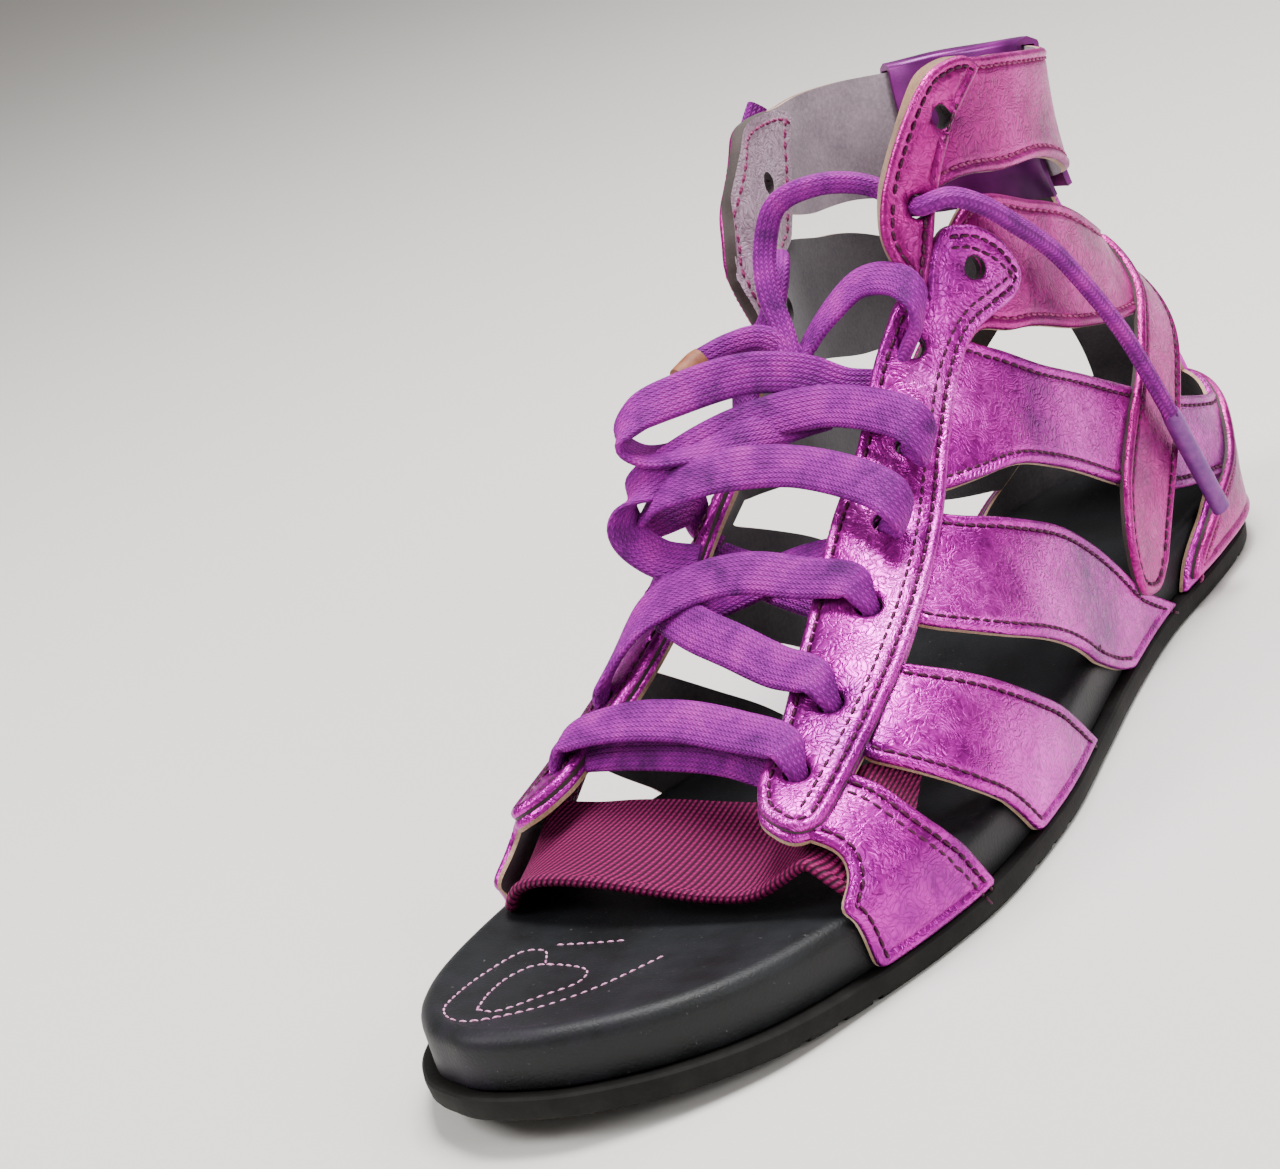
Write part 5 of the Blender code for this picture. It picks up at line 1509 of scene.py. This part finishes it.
class SANDAL_OT_stitching(Operator):
    """Rows of stitches along the folded edges"""
    bl_idname = "sandal.stitching"
    bl_label = "Stitching"

    def execute(self, context):
        sizes = context.scene.sandal_sizes
        pitch, thread, rise = sizes.stitch_pitch, sizes.thread, sizes.overlay
        plum, rose, pink = [], [], []
        for side, _ in SIDES:
            tab = TAB if side > 0 else MEDIAL_TAB
            rows = [(*seam, 0.0) for seam in STRAP_SEAMS]
            rows += [(tab, edge, insets, TAB_RISE[side]) for edge, insets in TAB_SEAMS]
            rows += [(*seam, rise) for seam in OVERLAY_SEAMS]
            for panel, edge, insets, height in rows:
                used = sided(panel, side)
                for share in insets:
                    inset = STITCH_IN * share
                    plum.append(stitch_edge(used[edge], turns_left(used), inset, height - SUNK, pitch))
        for panel, edge, height in ((ANKLE_STRAP, 0, 0.0), (ANKLE_STRAP, 2, 0.0), (COLLAR_STRAP, 0, 0.0),
                                    (COLLAR_STRAP, 2, 0.0), (COUNTER_OVER, 0, rise)):
            rose.append(stitch_edge(panel[edge], turns_left(panel), STITCH_IN, height - HAIR, pitch))
        # The medial tab's lining shows its own stitches, turned inwards
        tab = mirror(MEDIAL_TAB)
        for edge in tab:
            mid, ahead, up = stitch_edge(edge, turns_left(tab), STITCH_IN, TAB_BACK - 3 * HAIR, pitch)
            rose.append((mid, ahead, -up))
        top = OUTSOLE_THICK + FIT + FOOTBED_THICK
        for run in BED_STITCHES:
            xy = np.array(run) * MM
            line = run_through(np.c_[xy, top + spring(xy[:, 1]) - bed_dish(xy)], 400)
            pink.append(stitches_on(line, np.repeat([(0, 0, 1)], len(line), 0), BED_PITCH, 0.0))
        sew("stitches_plum", plum, thread, stock("thread_plum"))
        sew("stitches_rose", rose, thread, stock("thread_rose"))
        sew("stitches_footbed", pink, BED_THREAD, stock("thread_pink"), BED_STITCH_HALF)
        return {"FINISHED"}


# The satin sleeve: how far it clears the collar inside, its thickness, and its two ends round it
SLEEVE_GAP = 0.0024
SLEEVE_THICK = 0.0009
SLEEVE_OUT = 0.0005
SLEEVE_ENDS = (-0.122, 0.068)
SLEEVE_TALL = (0.79, 0.999)


class SANDAL_OT_collar_loop(Operator):
    """The satin sleeve over the back of the collar"""
    bl_idname = "sandal.collar_loop"
    bl_label = "Collar loop"

    def execute(self, context):
        rise = np.linspace(*SLEEVE_TALL, 14)
        outer, inner = SLEEVE_OUT + SLEEVE_THICK, -SLEEVE_GAP - SLEEVE_THICK
        # Up the outside, over the top in a soft bend, down the inside
        over = [(outer - 0.0003, 1.003), (-0.0009, 1.008), (inner + 0.0001, 1.003)]
        section = [(SLEEVE_OUT, v) for v in rise[::-1]] + [(outer, v) for v in rise] + over
        section += [(inner, v) for v in rise[::-1]] + [(-SLEEVE_GAP, v) for v in rise]
        offset, v = np.array(section).T
        verts = []
        stations = np.linspace(*SLEEVE_ENDS, 90)
        for u in stations:
            wave = 0.0002 * np.sin(u * 210) * (1 + np.cos(v * 30))
            verts.append(skin(np.c_[np.full(len(v), u), v], offset + wave * (offset > 0.001))[0])
        obj = finish_mesh("collar_loop_satin", np.vstack(verts), tube_faces(len(stations), len(section)),
                          [stock("satin")], sharp=70)
        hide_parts("collar_loop")
        return {"FINISHED"}


# The toe elastic: its thickness, how far its middle bows in, and how far its front edge rolls in
WEB_THICK = 0.0013
WEB_BOW = 0.0006
WEB_ROLL = 0.0004
WEB_CORD = 2.1


def elastic_edge(rows):
    """One edge of the toe elastic: ends by place under the straps, the middle by shares."""
    depth = WALL + FIT + ELASTIC_GAP
    points = []
    for row in rows:
        if len(row) == 2:
            points.append(skin(np.array([row]), -depth)[0][0])
        else:
            x, back, z = row
            points.append((x * BALL_WIDTH, HEEL_BACK_Y - back * SOLE_LENGTH, z * INSTEP_HEIGHT))
    return run_through(np.array(points), 200)


class SANDAL_OT_toe_elastic(Operator):
    """The ribbed elastic band under the front of the eyestays"""
    bl_idname = "sandal.toe_elastic"
    bl_label = "Toe elastic"

    def execute(self, context):
        front, rear = elastic_edge(ELASTIC_FRONT), elastic_edge(ELASTIC_REAR)
        count = 36
        t = np.linspace(0, 1, count)[:, None, None]
        grid = front[None] * (1 - t) + rear[None] * t
        n = unit(np.cross(np.gradient(grid, axis=0), np.gradient(grid, axis=1)))
        if n[..., 2].sum() > 0:
            n = -n
        bow = np.sin(np.pi * t) * WEB_BOW
        top = grid + n * bow - n * WEB_ROLL * np.clip(1 - t * count / 4, 0, 1)
        low = grid + n * (WEB_THICK + bow)
        a, b = grid.shape[:2]
        under = a * b
        faces = []
        for i in range(a - 1):
            for j in range(b - 1):
                q = (i * b + j, i * b + j + 1, (i + 1) * b + j + 1, (i + 1) * b + j)
                faces.append(q)
                faces.append(tuple(k + under for k in q[::-1]))
        loop = [(0, j) for j in range(b)] + [(i, b - 1) for i in range(1, a)]
        loop += [(a - 1, j) for j in range(b - 2, -1, -1)] + [(i, 0) for i in range(a - 2, 0, -1)]
        ids = [i * b + j for i, j in loop]
        faces += [(q, p, p + under, q + under) for p, q in zip(ids, ids[1:] + ids[:1])]
        across = travel(grid[a // 2]) / MM
        back = np.linspace(0, np.linalg.norm(grid[-1, b // 2] - grid[0, b // 2]) / MM, a)
        uv = np.stack(np.meshgrid(across, back), -1).reshape(-1, 2)
        obj = finish_mesh("toe_elastic_web", np.vstack([top.reshape(-1, 3), low.reshape(-1, 3)]), faces,
                          [stock("elastic")], sharp=60, uv=np.vstack([uv, uv]))
        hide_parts("toe_elastic")
        # The front edge is turned over a thin cord
        edge = (front + n[0] * 0.0005)[::5] / MM
        rows = np.c_[edge, np.full((len(edge), 2), WEB_CORD)]
        flat_lace("toe_elastic_edge", rows, stock("elastic"), [(0, 0.5, 0.8),
                                                               (0, 0.5, 0.8)], flat=1.0)
        return {"FINISHED"}


# Outsole levels as shares of its thickness and of EDGE_ROUND, over a first one on the ground
OUTSOLE_LEVELS = ((0.22, 0.2), (0.67, 0.0), (0.9, 0.1), (1.0, 0.5))
BOX_FACES = ((3, 2, 1, 0), (4, 5, 6, 7), (0, 1, 5, 4), (1, 2, 6, 5), (2, 3, 7, 6), (3, 0, 4, 7))


def groove_cutters():
    """Bars across the sole that cut its grooves, as one object."""
    verts = []
    faces = []
    for share in GROOVES:
        y = HEEL_BACK_Y - share * SOLE_LENGTH
        start = len(verts)
        for dz in (-2 * LUG_DEPTH, LUG_DEPTH):
            for x, dy in ((-0.06, -1), (0.06, -1), (0.06, 1), (-0.06, 1)):
                verts.append((x, y + dy * LUG_GAP / 2, spring(y) + dz))
        faces += [tuple(start + i for i in f) for f in BOX_FACES]
    mesh = bpy.data.meshes.new("groove_cutters")
    mesh.from_pydata(verts, [], faces)
    return bpy.data.objects.new("groove_cutters", mesh)


class SANDAL_OT_sole(Operator):
    """Footbed and outsole"""
    bl_idname = "sandal.sole"
    bl_label = "Sole"

    def execute(self, context):
        base = OUTSOLE_THICK + FIT
        top = base + FOOTBED_THICK
        arc = np.linspace(0, np.pi / 2, 7)[1:]
        levels = [(base, LEDGE + FIT), (base + 0.0004, LEDGE), (top - SHOULDER, LEDGE)]
        levels += [(top - SHOULDER * (1 - np.sin(a)), LEDGE + SHOULDER * (1 - np.cos(a))) for a in arc]
        verts, faces = slab(levels, 22, True)
        obj = finish_mesh("footbed_moulded", verts, faces, [stock("footbed")], sharp=50)
        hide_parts("footbed")
        levels = [(0.0, EDGE_ROUND), (0.0002, 0.6 * EDGE_ROUND)]
        levels += [(tall * OUTSOLE_THICK, cut * EDGE_ROUND) for tall, cut in OUTSOLE_LEVELS]
        verts, faces = slab(levels, 2, False)
        obj = finish_mesh("outsole_moulded", verts, faces, [stock("rubber")], sharp=40)
        tool = groove_cutters()
        context.scene.collection.objects.link(tool)
        mod = obj.modifiers.new("grooves", "BOOLEAN")
        mod.operation = "DIFFERENCE"
        mod.object = tool
        mod.solver = "EXACT"
        cut = bpy.data.meshes.new_from_object(obj.evaluated_get(context.evaluated_depsgraph_get()))
        obj.modifiers.clear()
        obj.data = cut
        bpy.data.objects.remove(tool)
        if not len(cut.polygons):
            raise RuntimeError("the grooves left nothing of the outsole")
        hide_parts("outsole")
        return {"FINISHED"}


class SANDAL_PT_panel(Panel):
    """Lists the sizes, the colours and the steps"""
    bl_label = "Gladiator Sandal"
    bl_space_type = "VIEW_3D"
    bl_region_type = "UI"
    bl_category = "Sandal"

    def draw(self, context):
        scene = context.scene
        for group, kind in ((scene.sandal_sizes, SandalSizes), (scene.sandal_colours, SandalColours)):
            for name in kind.__annotations__:
                self.layout.prop(group, name)
        for operator in OPERATORS:
            self.layout.operator(operator.bl_idname)


OPERATORS = (
    SANDAL_OT_stage,
    SANDAL_OT_lace_cords,
    SANDAL_OT_lace_bars,
    SANDAL_OT_straps,
    SANDAL_OT_overlays,
    SANDAL_OT_collar_loop,
    SANDAL_OT_toe_elastic,
    SANDAL_OT_sole,
    SANDAL_OT_stitching,
)
CLASSES = (SandalSizes, SandalColours, *OPERATORS, SANDAL_PT_panel)


def register():
    for cls in CLASSES:
        bpy.utils.register_class(cls)
    bpy.types.Scene.sandal_sizes = PointerProperty(type=SandalSizes)
    bpy.types.Scene.sandal_colours = PointerProperty(type=SandalColours)


def unregister():
    del bpy.types.Scene.sandal_colours
    del bpy.types.Scene.sandal_sizes
    for cls in reversed(CLASSES):
        bpy.utils.unregister_class(cls)


def main():
    register()
    for operator in OPERATORS:
        step = operator.bl_idname.split(".")[1]
        if getattr(bpy.ops.sandal, step)() != {"FINISHED"}:
            raise RuntimeError(f"{operator.bl_idname} did not finish")


if __name__ == "__main__":
    main()
